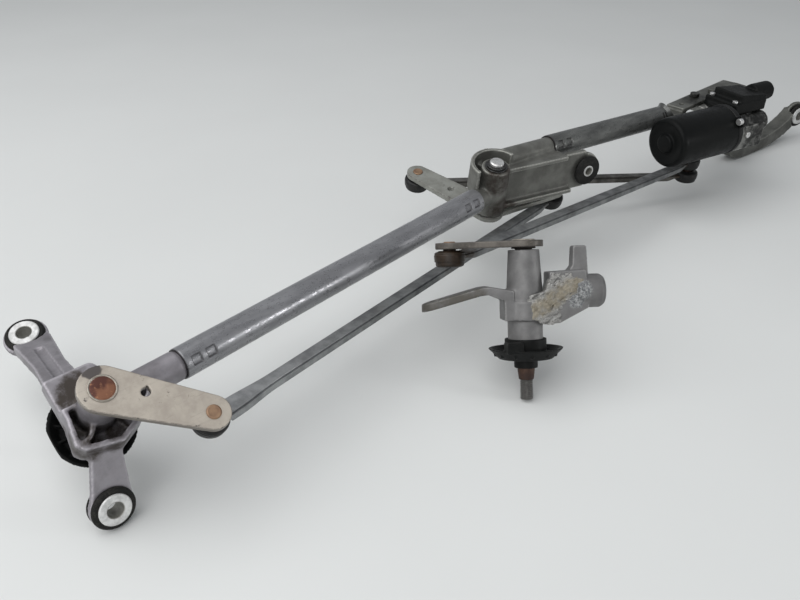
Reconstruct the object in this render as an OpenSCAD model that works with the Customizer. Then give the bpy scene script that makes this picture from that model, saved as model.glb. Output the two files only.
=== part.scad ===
// Wiper linkage: two tubes carry a left pivot, a centre rocker and the motor.
// Three rods join the levers. The right pivot has broken off and hangs on its rod.

/* [Tubes] */
// Outer diameter of both frame tubes
tube_d = 22; // [20:0.5:24]
// Wall of the frame tubes
tube_wall = 1.5; // [1.2:0.1:2]
// Radial gap between a spigot and its tube
spigot_gap = 0.1; // [0.05:0.05:0.3]
// Length of a spigot inside its tube
spigot_reach = 32; // [28:1:40]
// Side of a crimp dent pressed into a tube
crimp_w = 6.5; // [5:0.5:8]
// Depth of a crimp dent
crimp_depth = 0.8; // [0.5:0.1:1]
// Distance between the two crimp dents at a tube end
crimp_pitch = 11.5; // [10:0.5:13]

/* [Levers and spindles] */
// Distance from the left spindle to its ball
lever_reach = 64.5; // [60:0.5:70]
// Distance from the right spindle to its ball
right_lever_reach = 58; // [55:0.5:60]
// Thickness of the pressed levers
lever_t = 5; // [4:0.25:6]
// Radius of a lever's wide end
lever_big_r = 14.5; // [13:0.5:16]
// Radius of a lever's narrow end
lever_small_r = 11; // [9.5:0.5:12]
// Diameter of the wiper spindles
spindle_d = 12.8; // [12:0.2:13.4]
// Running gap between a shaft and its bush
running_gap = 0.05; // [0.02:0.01:0.08]
// Height of the lever's top above the tube axis, along the spindle
lever_top = 33; // [31:0.5:35]
// Distance from the tube axis down to the threaded tip
spindle_drop = 86; // [84:0.5:88]
// Diameter of the thread on the spindle tip
thread_d = 10; // [8:0.5:10]
// Length of the thread
thread_len = 15; // [12:0.5:18]

/* [Rocker] */
// Reach of the rocker's drive arm
rocker_drive_reach = 82; // [76:0.5:86]
// Reach of the rocker's output arm
rocker_out_reach = 75; // [70:0.5:80]
// Height of the rocker's top below the tube axis
rocker_drop = 20; // [18:0.5:24]
// Radius of the rocker's hub
rocker_hub_r = 14.5; // [14:0.25:15]
// Radius of the rocker's arm ends
rocker_end_r = 10.5; // [9.5:0.5:11.5]
// Radius of the centre post
post_r = 12.8; // [12:0.2:14]
// Height of the centre post above the tube axis
post_top = 28; // [26:0.5:32]

/* [Ball joints and rods] */
// Radius of the ball on a stud
ball_r = 5.4; // [5:0.1:5.8]
// Distance from a lever's underside to the ball's centre
ball_drop = 7; // [6.75:0.25:8]
// Gap between a ball and its socket
ball_gap = 0.06; // [0.03:0.01:0.1]
// Outer radius of a plastic socket
socket_r = 9; // [8.6:0.1:9.6]
// Outer radius of a rubber dust boot
boot_r = 11.8; // [11.2:0.1:12.4]
// Width of a pressed rod
rod_w = 10; // [9.5:0.25:10.25]
// Height of a pressed rod
rod_h = 6.5; // [6:0.25:7]
// Sheet thickness of a rod
rod_t = 2; // [1.5:0.1:2.5]
// Gap left at the pivots where the linkage loop is opened
open_gap = 0.8; // [0.6:0.1:1.2]
// Gap between the two rods that share the crank's pin
stack_gap = 1.6; // [1.4:0.1:2.4]

/* [Motor] */
// Radius of the motor can
can_r = 25.5; // [24:0.5:26]
// Length of the motor can
can_len = 78; // [74:1:80]
// Wall of the motor can
can_wall = 2; // [1.5:0.25:2.5]
// Distance from the motor's closed end to the output axis
worm_reach = 112; // [110:1:116]
// Distance between the motor axis and the output axis
worm_offset = 22.2; // [21.6:0.2:23]
// Radius of the worm wheel
wheel_r = 17.2; // [16.8:0.1:17.4]
// Reach of the motor crank
crank_reach = 50; // [44:1:54]
// Diameter of the output shaft
output_d = 12; // [10:0.5:13]

/* [Rubber mounts] */
// Outer diameter of a mount's rubber
mount_rubber_d = 28.5; // [27:0.5:30]
// Diameter of the flange on a mount's metal insert
mount_flange_d = 21.5; // [20:0.5:23]
// Bolt hole through a mount's insert
mount_bore_d = 10.4; // [8.4:0.2:11]
// Bolt hole through the plain sleeve of the centre mount
sleeve_bore_d = 7; // [6.4:0.2:8.4]

/* [Hidden] */

// Shift of the working frame, so that the object's box is centred and stands on the table
frame_shift = [8.4, 0.55, 0];

$fn = 48;
eps = 0.05;
slip = 0.02;
arc_steps = 24;

cast_grey = "#9a989c";
zinc_steel = "#c9c2ad";
rod_grey = "#83878a";
rust = "#a8694a";
rubber_black = "#242526";
plastic_black = "#2b2d30";
bright_metal = "#d5d7d8";

tube_r = tube_d / 2;
spigot_r = tube_r - tube_wall - spigot_gap;
spindle_r = spindle_d / 2;
bush_wall = 1.6;
bush_len = 12;
thread_r = thread_d / 2;
socket_depth = 6.8;
socket_rise = 3.4;
boot_low = 1.7;
stud_shank_r = 4.2;
stud_neck_r = 3.4;
stud_head_r = 5.4;
stud_head_h = 1;
mount_core_d = mount_bore_d + 5;
sleeve_d = sleeve_bore_d + 3.6;
mount_waist_d = 22;
mount_lip = 3;
eye_t = 5;
eye_r = 15.8;
boss_r = 13;
boss_low = -43;
left_boss_low = -27;
web_t = 6;
mouth_len = 8;
mouth_flare = 3;
washer_t = 1.5;
clip_t = 1.2;
rod_top = 1.3;
eye_low = -2;
eye_high = 1.3;

// Places in the working frame: X runs from the left pivot to the motor
left_hub = [-467, -10, 72.9];
left_tilt = 35;
left_lever_heading = -41.2;
left_upper_mount = [-460.3, 130.8, 46];
left_upper_turn = [16, -10, 0];
left_lower_mount = [-480.5, -28.5, 14.6];
left_lower_turn = [79, 0, 0];
long_tube_start = [-410, -7, 74.5];
long_tube_end = [-97, 21, 76.5];
centre_hub = [-72, 22.9, 77];
centre_tilt = 12;
centre_lean = -6;
rocker_drive_heading = 98.7;
rocker_out_heading = -14;
centre_mount = [28, -5, 79];
centre_mount_heading = -104.8;
short_tube_start = [4, 22, 99];
short_tube_end = [194, 4.6, 88.7];
motor_face = [138.7, -26.1, 79.5];
motor_heading = -13.8;
crank_heading = 171;
broken_tip = [-200.4, -132.3, 2];
broken_lean = 30;
broken_heading = 50.6;
broken_lever_heading = 64;
far_mount = [462, -25, 30];

lever_low = lever_top - lever_t;
boss_top = lever_low - 2;
ball_z = lever_low - ball_drop;
rocker_low = -rocker_drop - lever_t;
rocker_ball_z = rocker_low - ball_drop;
left_turn = [left_tilt, 0, 0];
left_ball = spot(left_hub, left_turn, polar(lever_reach, left_lever_heading, ball_z));
centre_turn = [centre_tilt, centre_lean, 0];
rocker_drive_ball = spot(centre_hub, centre_turn,
                         polar(rocker_drive_reach, rocker_drive_heading, rocker_ball_z));
rocker_out_ball = spot(centre_hub, centre_turn,
                       polar(rocker_out_reach, rocker_out_heading, rocker_ball_z));
out_ball = rocker_out_ball - spot([0, 0, 0], centre_turn, [0, 0, open_gap]);
motor_turn = [0, 0, motor_heading];
output_axis = spot(motor_face, motor_turn, [worm_reach, worm_offset, 0]);
arm_shaft_r = 4;
worm_mesh_gap = 0.3;
worm_r = worm_offset - wheel_r - worm_mesh_gap;
worm_half = 16;
// Start of the armature core, start of the commutator, and the core length that leaves a gap between them
core_at = 14;
commutator_at = can_len - 22;
core_gap = 2;
core_len = commutator_at - core_at - core_gap;
worm_end = worm_reach + worm_half + 12;
case_r = wheel_r + 7;
case_top = 13;
cover_gap = 0.05;
flange_t = 6;
output_r = output_d / 2;
plate_t = 5;
ear_reach = worm_offset + 36;
bracket_screw_x = [worm_reach - 14, worm_reach + 14];
housing_low = -17;
bracket_gap = 0.2;
crank_t = 5;
crank_top = -can_r - 1.4;
crank_low = crank_top - crank_t;
crank_pin = output_axis + polar(crank_reach, crank_heading, 0);
right_rod_ball = crank_pin + [0, 0, crank_low - ball_drop - open_gap];
drive_rod_ball = right_rod_ball - [0, 0, socket_depth + ball_drop + stack_gap];
no_turn = [0, 0, 0];
broken_turn = [0, broken_lean, broken_heading];
broken_hub = spot(broken_tip, broken_turn, [0, 0, spindle_drop]);
broken_ball = spot(broken_hub, broken_turn, polar(right_lever_reach, broken_lever_heading, ball_z));

// A point at a distance and heading in the XY plane, at a height
function polar(reach, heading, z) = [reach * cos(heading), reach * sin(heading), z];

// A point p turned about X, then Y, then Z, and moved to a place
function spot(place, turn, p) = place + turn_z(turn_y(turn_x(p, turn.x), turn.y), turn.z);
function turn_x(p, a) = [p.x, p.y * cos(a) - p.z * sin(a), p.y * sin(a) + p.z * cos(a)];
function turn_y(p, a) = [p.x * cos(a) + p.z * sin(a), p.y, p.z * cos(a) - p.x * sin(a)];
function turn_z(p, a) = [p.x * cos(a) - p.y * sin(a), p.x * sin(a) + p.y * cos(a), p.z];

// Heading and climb of the line between two points
function heading_of(from, to) = atan2(to.y - from.y, to.x - from.x);
function climb_of(from, to) = atan2(to.z - from.z, norm([to.x - from.x, to.y - from.y]));

// The object's own frame
module row() { translate(frame_shift) children(); }
module at_left() { row() translate(left_hub) rotate([left_tilt, 0, 0]) children(); }
module at_centre() { row() translate(centre_hub) rotate(centre_turn) children(); }
module at_motor() { row() translate(motor_face) rotate(motor_turn) children(); }
module at_output() { row() translate(output_axis) children(); }
module at_broken() { row() translate(broken_hub) rotate(broken_turn) children(); }

// Puts +X along the line from one point to another, with +Z upwards
module along(from, to) {
  row() translate(from) rotate([0, -climb_of(from, to), heading_of(from, to)]) children();
}

// Puts +Z along the line from one point to another
module down_line(from, to) { along(from, to) rotate([0, 90, 0]) children(); }

// Points on an arc from one angle to another
function arc(centre, r, from, to) = [
  for (i = [0:arc_steps]) let (a = from + (to - from) * i / arc_steps) centre + polar_xy(r, a)
];
function polar_xy(reach, heading) = [reach * cos(heading), reach * sin(heading)];

// Outline of a bar whose round ends have two radii
module bar_outline(reach, r0, r1) {
  lean = acos((r0 - r1) / reach);
  polygon(concat(arc([0, 0], r0, lean, 360 - lean), arc([reach, 0], r1, -lean, lean)));
}

// A ring with its lower face at z = 0
module ring(r_out, r_in, h) {
  difference() {
    cylinder(r = r_out, h = h);
    translate([0, 0, -eps]) cylinder(r = r_in, h = h + 2 * eps);
  }
}

// Tube with a pair of crimp dents near each end, and a flared mouth of a given length
module frame_tube(from, to, mouth) {
  len = norm(to - from);
  bore_r = tube_r - tube_wall;
  down_line(from, to) difference() {
    union() {
      cylinder(r = tube_r, h = len);
      if (mouth > 0) translate([0, 0, len]) cylinder(r1 = tube_r, r2 = tube_r + mouth_flare, h = mouth);
    }
    translate([0, 0, -eps]) cylinder(r = bore_r, h = len + 2 * eps);
    if (mouth > 0) translate([0, 0, len - eps])
      cylinder(r1 = bore_r - eps, r2 = bore_r + mouth_flare, h = mouth + 2 * eps);
    for (end = [0, 1], step = [0, 1])
      translate([0, 0, end * len + (1 - 2 * end) * (9 + step * crimp_pitch)])
        rotate([0, 0, 245]) translate([tube_r - crimp_depth, -crimp_w / 2, -crimp_w / 2])
          cube([tube_r, crimp_w, crimp_w]);
  }
}

// Spigot that fills a tube's end and reaches back out of it
module spigot(from, to, back) {
  down_line(from, to) translate([0, 0, -back]) cylinder(r = spigot_r, h = back + spigot_reach);
}

// Room for the wall of a tube round its spigot
module tube_room(from, to) {
  down_line(from, to) translate([0, 0, -0.3]) ring(tube_r + 0.4, spigot_r, 80);
}

// Spindle from the rivet on the lever down to the threaded tip
module spindle() {
  cone_top = thread_len + 7 - spindle_drop;
  thread_top = thread_len - spindle_drop;
  color(rust) rotate_extrude() polygon([
    [0, lever_top + 1.4], [6.5, lever_top + 1], [8.6, lever_top + slip], [7, lever_top + slip],
    [7, lever_low - slip], [9, lever_low - slip], [9, lever_low - 1.2], [spindle_r, lever_low - 1.2],
    [spindle_r, cone_top], [thread_r + 0.8, thread_top], [thread_r, thread_top],
    [thread_r, 1 - spindle_drop], [thread_r - 1, -spindle_drop], [0, -spindle_drop]
  ]);
}

// Pressed lever with its spindle hole, stud hole and key hole
module lever(heading, reach) {
  key_hole = [23.7, 3.6];
  color(zinc_steel) rotate([0, 0, heading]) translate([0, 0, lever_low]) difference() {
    linear_extrude(lever_t) bar_outline(reach, lever_big_r, lever_small_r);
    translate([0, 0, -eps]) cylinder(r = 7 + slip, h = lever_t + 2 * eps);
    translate([reach, 0, -eps]) cylinder(r = stud_shank_r + slip, h = lever_t + 2 * eps);
    translate([key_hole.x, key_hole.y, -eps]) cylinder(r = 2.9, h = lever_t + 2 * eps);
    translate([key_hole.x - 0.8, key_hole.y, -eps]) cube([1.6, 4, lever_t + 2 * eps]);
  }
}

// Ball stud with its ball at the origin, riveted through a plate above
module ball_stud(plate_t) {
  color(rust) union() {
    sphere(r = ball_r);
    cylinder(r = stud_neck_r, h = ball_drop - slip);
    translate([0, 0, ball_drop - 1.5]) cylinder(r = stud_shank_r + 0.8, h = 1.5 - slip);
    if (plate_t > 0) {
      translate([0, 0, ball_drop - 1]) cylinder(r = stud_shank_r, h = plate_t + 1 + slip);
      translate([0, 0, ball_drop + plate_t + slip]) cylinder(r1 = stud_head_r, r2 = 4.4, h = stud_head_h);
    }
  }
}

// Plastic socket round a ball at the origin, domed below
module socket() {
  color(plastic_black) difference() {
    union() {
      translate([0, 0, -3.6]) cylinder(r = socket_r, h = 3.6 + socket_rise);
      translate([0, 0, -socket_depth]) cylinder(r1 = 5.5, r2 = socket_r, h = socket_depth - 3.6);
    }
    sphere(r = ball_r + ball_gap);
    cylinder(r = ball_r - 1.2, h = ball_r + 2);
  }
}

// Rubber dust boot above the rod, with two ribs
module boot() {
  color(rubber_black) translate([0, 0, boot_low]) rotate_extrude() polygon([
    [socket_r + 0.1, 0], [boot_r - 0.6, 0], [boot_r, 0.7], [boot_r - 0.8, 1.3], [boot_r, 2],
    [boot_r - 1.5, 3], [stud_shank_r + 2.4, 4.3], [stud_shank_r + 1.8, 4.3],
    [stud_shank_r + 1.8, 3.4], [socket_r + 0.1, 2.2]
  ]);
}

// Eye of a rod, pressed round its socket
module rod_eye() { translate([0, 0, eye_low]) cylinder(r = boot_r - 0.4, h = eye_high - eye_low); }

// Room for the socket and the boot at a rod's end
module eye_room() {
  translate([0, 0, -20]) cylinder(r = socket_r + 0.05, h = 40);
  translate([0, 0, eye_high]) cylinder(r = boot_r + 0.4, h = 20);
}

// Pressed channel rod between two balls, with an eye at each end
module rod(from, turn_from, to, turn_to) {
  len = norm(to - from);
  start = boot_r + 3;
  low = rod_top - rod_h;
  color(rod_grey) difference() {
    union() {
      along(from, to) difference() {
        union() {
          translate([socket_r - 1, -rod_w / 2, eye_low])
            cube([len - 2 * socket_r + 2, rod_w, eye_high - eye_low]);
          translate([start, -rod_w / 2, low]) cube([len - 2 * start, rod_w, rod_h]);
        }
        translate([start + 8, rod_t - rod_w / 2, low - eps])
          cube([len - 2 * start - 16, rod_w - 2 * rod_t, rod_h - rod_t]);
        for (side = [0, 1]) translate([side * len + (1 - 2 * side) * (start + 4), 0, -rod_h])
          cylinder(r = 1.5, h = 2 * rod_h);
      }
      at_ends(from, turn_from, to, turn_to) rod_eye();
    }
    at_ends(from, turn_from, to, turn_to) eye_room();
  }
}

// Places the children at both ball joints of a rod
module at_ends(from, turn_from, to, turn_to) {
  row() translate(from) rotate(turn_from) children();
  row() translate(to) rotate(turn_to) children();
}

// Rubber of a mount, grooved round the eye it sits in
module mount_rubber(core_r) {
  rim_r = mount_rubber_d / 2;
  top = eye_t + mount_lip;
  color(rubber_black) rotate_extrude() polygon([
    [core_r, -mount_lip], [rim_r - 1, -mount_lip], [rim_r, 1 - mount_lip], [rim_r, 0],
    [mount_waist_d / 2, 0], [mount_waist_d / 2, eye_t], [rim_r, eye_t], [rim_r, top - 1.2],
    [rim_r - 1.2, top], [core_r, top]
  ]);
}

// Metal insert of a mount, with a flange on its upper face
module flanged_insert() {
  top = eye_t + mount_lip;
  color(bright_metal) difference() {
    union() {
      translate([0, 0, -mount_lip]) cylinder(r = mount_core_d / 2 - slip, h = top + mount_lip + 0.5);
      translate([0, 0, top + slip])
        cylinder(r1 = mount_flange_d / 2, r2 = mount_flange_d / 2 - 0.8, h = 1.6);
    }
    translate([0, 0, -mount_lip - eps]) cylinder(r = mount_bore_d / 2, h = top + mount_lip + 4);
  }
}

// Plain metal sleeve of a mount
module plain_insert() {
  len = eye_t + 2 * mount_lip + 1;
  color(bright_metal) translate([0, 0, -mount_lip - 0.5]) ring(sleeve_d / 2 - slip, sleeve_bore_d / 2, len);
}

module eye_hole() { translate([0, 0, -eps]) cylinder(r = mount_waist_d / 2 + slip, h = eye_t + 2 * eps); }

// Room cut through an arm for a mount's rubber lips
module eye_clear() {
  translate([0, 0, -20]) cylinder(r = mount_rubber_d / 2 + 0.5, h = 20);
  translate([0, 0, eye_t]) cylinder(r = mount_rubber_d / 2 + 0.5, h = 20);
  eye_hole();
}

// Bore for the spindle's two bushes
module bush_bore(low, high) {
  translate([0, 0, low - eps]) cylinder(r = spindle_r + bush_wall + slip, h = high - low + 2 * eps);
}

module bushes(low, high, shaft_r) {
  color("#a08a5a") for (z = [low, high - bush_len]) translate([0, 0, z])
    ring(shaft_r + bush_wall, shaft_r + running_gap, bush_len);
}

// Cast arm between two points, waisted, with a narrow groove along its top
module cast_arm(from, to, w0, t) {
  len = norm(to - from);
  waist = 0.42 * w0;
  along(from, to) difference() {
    translate([0, 0, -t / 2]) linear_extrude(t) polygon([
      [0, -w0 / 2], [0.5 * len, -waist], [len - 10, -w0 / 2 - 1], [len, -w0 / 2 - 1],
      [len, w0 / 2 + 1], [len - 10, w0 / 2 + 1], [0.5 * len, waist], [0, w0 / 2]
    ]);
    translate([10, -3, t / 2 - 2.2]) cube([len - 38, 6, 4]);
  }
}

module at_upper() { row() translate(left_upper_mount) rotate(left_upper_turn) children(); }
module at_lower() { row() translate(left_lower_mount) rotate(left_lower_turn) children(); }

module left_housing() {
  neck_len = norm(long_tube_start - left_hub);
  arm_root = spot(left_hub, left_turn, [-8, 12, -4]);
  color(cast_grey) difference() {
    union() {
      at_left() translate([0, 0, left_boss_low]) cylinder(r = boss_r, h = 20);
      at_left() translate([0, 0, -16]) cylinder(r1 = 16, r2 = 12, h = 18);
      at_left() cylinder(r = 12, h = boss_top);
      at_left() translate([0, 0, -14]) linear_extrude(13) left_web_outline(30);
      at_left() translate([0, 0, -14]) linear_extrude(21) left_web_outline(7);
      spigot(long_tube_start, long_tube_end, 14);
      down_line(left_hub, long_tube_start) cylinder(r = tube_r - 0.7, h = neck_len - 1.5);
      cast_arm(arm_root, left_upper_mount + [0, -9, 3], 24, 9);
      at_upper() cylinder(r = eye_r, h = eye_t);
      at_lower() linear_extrude(eye_t) lower_arm_outline();
    }
    at_left() bush_bore(left_boss_low, boss_top);
    at_left() translate([0, 0, -9]) difference() {
      linear_extrude(boss_top + 12) left_pockets();
      cylinder(r = 12.4, h = boss_top + 12);
    }
    at_upper() eye_clear();
    at_lower() eye_clear();
    tube_room(long_tube_start, long_tube_end);
    at_left() translate([0, 0, boss_top]) cylinder(r = 90, h = 40);
  }
}

// Flat strip from the web down to the lower mount
module lower_arm_outline() {
  circle(r = eye_r - 1.6);
  polygon([[-14.1, 1], [-9, 15], [-0.6, 45], [17.6, 42], [15.6, 20], [14, 2], [0, -10]]);
}

// Triangular web between the boss and the arms
module left_web_outline(back) {
  polygon([
    [-20, back], [-20, 0], [-23, -17], [-19, -22], [3, -27], [19, -19], [36, -4], [34 - 0.8 * back, back]
  ]);
}

// Pockets that leave a rim and thin ribs in the web
module left_pockets() {
  polygon([[-16.4, 5], [-10, 4], [-9, -8], [-13, -14], [-19, -16]]);
  polygon([[-5, -9], [-10.5, -15.5], [-16.5, -19.2], [2.6, -23.2], [13.2, -18], [8.6, -8]]);
  polygon([[11.5, -5], [16.4, -16.2], [29.6, -4.6], [24, 1.5], [12, 2]]);
}

module left_bushes() { at_left() bushes(left_boss_low, boss_top, spindle_r); }

// Plastic flange that seals the spindle at the cowl, pressed on the boss above it
module cowl_flange(low) {
  dish = 8;
  color(plastic_black) {
    translate([0, 0, low - 12]) difference() {
      union() {
        cylinder(r1 = 20, r2 = 28, h = dish);
        translate([0, 0, -7]) cylinder(r = 8.8, h = 8);
      }
      translate([0, 0, 3]) cylinder(r1 = 20, r2 = 26.5, h = 6);
      translate([0, 0, -8]) cylinder(r = spindle_r + 0.4, h = 20);
    }
    translate([0, 0, low - 10]) ring(15.5, boss_r + slip, 13);
    for (turn = [0:30:330]) rotate([0, 0, turn]) translate([15, -0.8, low - 10]) cube([9, 1.6, 4]);
  }
}

// The left flange is cut straight on one side
module left_cowl_flange() {
  at_left() difference() {
    cowl_flange(left_boss_low);
    translate([-76, -50, left_boss_low - 30]) cube([50, 100, 60]);
  }
}

module left_spindle() { at_left() spindle(); }
module left_lever() { at_left() lever(left_lever_heading, lever_reach); }
module left_ball_stud() { row() translate(left_ball) rotate([left_tilt, 0, 0]) ball_stud(lever_t); }

module left_upper_rubber() { at_upper() mount_rubber(mount_core_d / 2); }
module left_upper_insert() { at_upper() flanged_insert(); }
module left_lower_rubber() { at_lower() mount_rubber(mount_core_d / 2); }
module left_lower_insert() { at_lower() flanged_insert(); }

module long_tube() { color(cast_grey) frame_tube(long_tube_start, long_tube_end, 0); }

// The short tube opens into a flared mouth at the motor's bracket
module short_tube() { color(cast_grey) frame_tube(short_tube_start, short_tube_end, mouth_len); }

module at_centre_mount() {
  row() translate(centre_mount) rotate([90, 0, centre_mount_heading + 90])
    translate([0, 0, -eye_t / 2]) children();
}

module centre_bracket() {
  web_root = centre_hub + [4, 0, 2];
  web_len = norm(centre_mount - web_root);
  post_low = 1.2 - rocker_drop;
  color(cast_grey) difference() {
    union() {
      at_centre() translate([0, 0, post_low])
        cylinder(r1 = post_r + 1.4, r2 = post_r, h = post_top - post_low);
      spigot(long_tube_end, long_tube_start, 30);
      spigot(short_tube_start, short_tube_end, 58);
      along(web_root, centre_mount) translate([0, -web_t / 2, -17]) cube([web_len, web_t, 36]);
      along(web_root, centre_mount) translate([0, -9, -18]) cube([web_len - 18, 14, 4]);
      along(web_root, centre_mount) translate([0, -9, 16]) cube([web_len - 26, 22, 4]);
      at_centre_mount() cylinder(r = 16, h = eye_t);
      at_centre() centre_wall();
      at_centre() translate([-3, 10, 6]) cube([6, 11, post_top - 12]);
    }
    at_centre() translate([0, 0, -rocker_drop]) bush_bore(-2, post_top + rocker_drop + 2);
    at_centre_mount() eye_clear();
    tube_room(long_tube_end, long_tube_start);
    tube_room(short_tube_start, short_tube_end);
    at_centre() translate([0, 0, -rocker_drop - 30]) cylinder(r = 120, h = 31.2);
  }
}

// Curved wall behind the post
module centre_wall() {
  translate([0, 0, 4]) difference() {
    cylinder(r = 23, h = post_top);
    translate([0, 0, -eps]) cylinder(r = 19.5, h = post_top + 2);
    translate([-60, -60, -eps]) cube([120, 60, 60]);
  }
}

module centre_bushes() { at_centre() bushes(1.4 - rocker_drop, post_top, spindle_r); }
module centre_rubber() { at_centre_mount() mount_rubber(sleeve_d / 2); }
module centre_insert() { at_centre_mount() plain_insert(); }

module rocker_lever() {
  key_reach = 43;
  color(zinc_steel) at_centre() translate([0, 0, rocker_low]) difference() {
    linear_extrude(lever_t) union() {
      rotate(rocker_drive_heading) bar_outline(rocker_drive_reach, rocker_hub_r, rocker_end_r);
      rotate(rocker_out_heading) bar_outline(rocker_out_reach, rocker_end_r + 0.2, rocker_end_r);
    }
    translate([0, 0, -eps]) cylinder(r = 7 + slip, h = lever_t + 2 * eps);
    rotate(rocker_drive_heading) translate([rocker_drive_reach, 0, -eps])
      cylinder(r = stud_shank_r + slip, h = lever_t + 2 * eps);
    rotate(rocker_drive_heading) translate([key_reach, 0, -eps]) cylinder(r = 2.8, h = lever_t + 2 * eps);
  }
}

module rocker_shaft() {
  top = post_top + washer_t + clip_t + 3;
  groove_z = post_top + washer_t + 3 * slip;
  color(bright_metal) at_centre() rotate_extrude() polygon([
    [0, rocker_low - 1.4], [8, rocker_low - 1], [8.6, rocker_low - slip], [7, rocker_low - slip],
    [7, -rocker_drop + slip], [9, -rocker_drop + slip], [9, 1 - rocker_drop], [spindle_r, 1 - rocker_drop],
    [spindle_r, groove_z - slip], [spindle_r - 1, groove_z - slip],
    [spindle_r - 1, groove_z + clip_t + slip],
    [spindle_r, groove_z + clip_t + slip], [spindle_r, top - 1], [spindle_r - 1.5, top], [0, top + 0.4]
  ]);
}

module rocker_washer() {
  color(bright_metal) at_centre() translate([0, 0, post_top + slip]) ring(10, spindle_r + 0.15, washer_t);
}

module rocker_circlip() {
  color("#3a3a3c") at_centre() translate([0, 0, post_top + washer_t + 3 * slip]) difference() {
    ring(8.6, spindle_r - 1 + slip, clip_t);
    translate([4, -1.5, -1]) cube([8, 3, 4]);
  }
}

module rocker_drive_stud() { row() translate(rocker_drive_ball) rotate(centre_turn) ball_stud(lever_t); }

// Stud at the open pivot: it stays with the left rod, clear of the rocker
module rocker_out_stud() { row() translate(out_ball) rotate(centre_turn) ball_stud(0); }

module at_left_rod_ends() { at_ends(left_ball, left_turn, out_ball, centre_turn) children(); }
module left_rod() { rod(left_ball, left_turn, out_ball, centre_turn); }
module left_rod_sockets() { at_left_rod_ends() socket(); }
module left_rod_boots() { at_left_rod_ends() boot(); }

module at_drive_rod_ends() { at_ends(rocker_drive_ball, centre_turn, drive_rod_ball, no_turn) children(); }
module drive_rod() { rod(rocker_drive_ball, centre_turn, drive_rod_ball, no_turn); }
module drive_rod_sockets() { at_drive_rod_ends() socket(); }
module drive_rod_boots() { at_drive_rod_ends() boot(); }
module drive_rod_crank_stud() { row() translate(drive_rod_ball) ball_stud(0); }

module at_right_rod_ends() { at_ends(broken_ball, broken_turn, right_rod_ball, no_turn) children(); }
module right_rod() { rod(broken_ball, broken_turn, right_rod_ball, no_turn); }
module right_rod_sockets() { at_right_rod_ends() socket(); }
module right_rod_boots() { at_right_rod_ends() boot(); }
module right_rod_crank_stud() { row() translate(right_rod_ball) ball_stud(0); }

// Motor: +Z of the children runs along the motor's axis from its closed end
module at_shaft() { at_motor() rotate([0, 90, 0]) children(); }

module motor_can() {
  bearing_r = arm_shaft_r + running_gap;
  inner_r = can_r - can_wall;
  color(plastic_black) at_shaft() rotate_extrude() polygon([
    [0, -2.5], [8.5, -2.5], [9.5, -1.5], [9.5, 0], [can_r - 5, 0], [can_r - 1.5, 1.5], [can_r, 5],
    [can_r, can_len], [inner_r, can_len], [inner_r, 5], [inner_r - 3, can_wall],
    [bearing_r, can_wall], [bearing_r, -1], [0, -1]
  ]);
}

module motor_magnets() {
  color("#3c3c40") at_shaft() translate([0, 0, 12]) difference() {
    ring(can_r - can_wall - 0.05, can_r - can_wall - 4.2, 46);
    for (side = [0, 180]) rotate([0, 0, side]) translate([-10, 0, -1]) cube([20, 40, 60]);
  }
}

module brush_ring() {
  color("#5a4632") at_shaft() translate([0, 0, can_len - 9]) {
    ring(can_r - can_wall - 0.05, 13, 3);
    for (side = [0, 180]) rotate([0, 0, side]) translate([9.2, -3, 0]) cube([6, 6, 5]);
  }
}

module armature_shaft() {
  color(bright_metal) at_shaft() {
    translate([0, 0, -0.8]) cylinder(r = arm_shaft_r, h = worm_reach + worm_half + 8);
    translate([0, 0, worm_reach - worm_half]) cylinder(r = worm_r, h = 2 * worm_half);
  }
}

module armature_core() {
  core_r = can_r - can_wall - 5;
  color("#6b6258") at_shaft() translate([0, 0, core_at]) difference() {
    ring(core_r, arm_shaft_r + slip, core_len);
    for (turn = [0:36:324]) rotate([0, 0, turn]) translate([core_r - 6, -1.4, -1])
      cube([10, 2.8, core_len + 2]);
  }
}

module commutator() {
  color("#b07a4a") at_shaft() translate([0, 0, commutator_at]) ring(9, arm_shaft_r + slip, 11);
}

module gear_housing() {
  body_x = can_len + flange_t - 1;
  color(bright_metal) at_motor() difference() {
    union() {
      rotate([0, 90, 0]) translate([0, 0, can_len + slip]) cylinder(r = can_r + 0.6, h = flange_t);
      for (turn = [145, 325]) rotate([turn, 0, 0]) translate([can_len + slip, 0, -6])
        cube([flange_t, can_r + 6, 12]);
      rotate([0, 90, 0]) translate([0, 0, body_x]) cylinder(r = 11, h = worm_end - body_x);
      translate([body_x, -9, housing_low + 3])
        cube([worm_reach - body_x, worm_offset + 9, case_top - housing_low - 4]);
      translate([body_x, -15, housing_low - 4]) cube([worm_reach + 18 - body_x, 18, 25]);
      translate([worm_reach, worm_offset, housing_low]) cylinder(r = case_r, h = case_top - housing_low);
      translate([worm_reach, worm_offset, housing_low - 5]) cylinder(r = 11, h = 6);
      translate([worm_reach - 22, worm_offset + 12, case_top - 10.5]) cube([44, 36, 8]);
    }
    for (turn = [145, 325]) rotate([turn, 0, 0]) translate([can_len - 6, can_r + 4.2, 0])
      rotate([0, 90, 0]) cylinder(r = 4.2, h = 6);
    translate([worm_reach, worm_offset, housing_low + 7]) cylinder(r = wheel_r + 1.2, h = 60);
    rotate([0, 90, 0]) translate([0, 0, can_len - 1])
      cylinder(r = worm_r + 0.8, h = worm_half + worm_reach - can_len + 4);
    rotate([0, 90, 0]) translate([0, 0, worm_reach])
      cylinder(r = arm_shaft_r + running_gap, h = worm_half + 8);
    translate([worm_reach, worm_offset, housing_low - 10]) cylinder(r = output_r + running_gap, h = 40);
    for (x = bracket_screw_x) translate([x, ear_reach, case_top - 20]) cylinder(r = 3 + slip, h = 30);
  }
}

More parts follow.
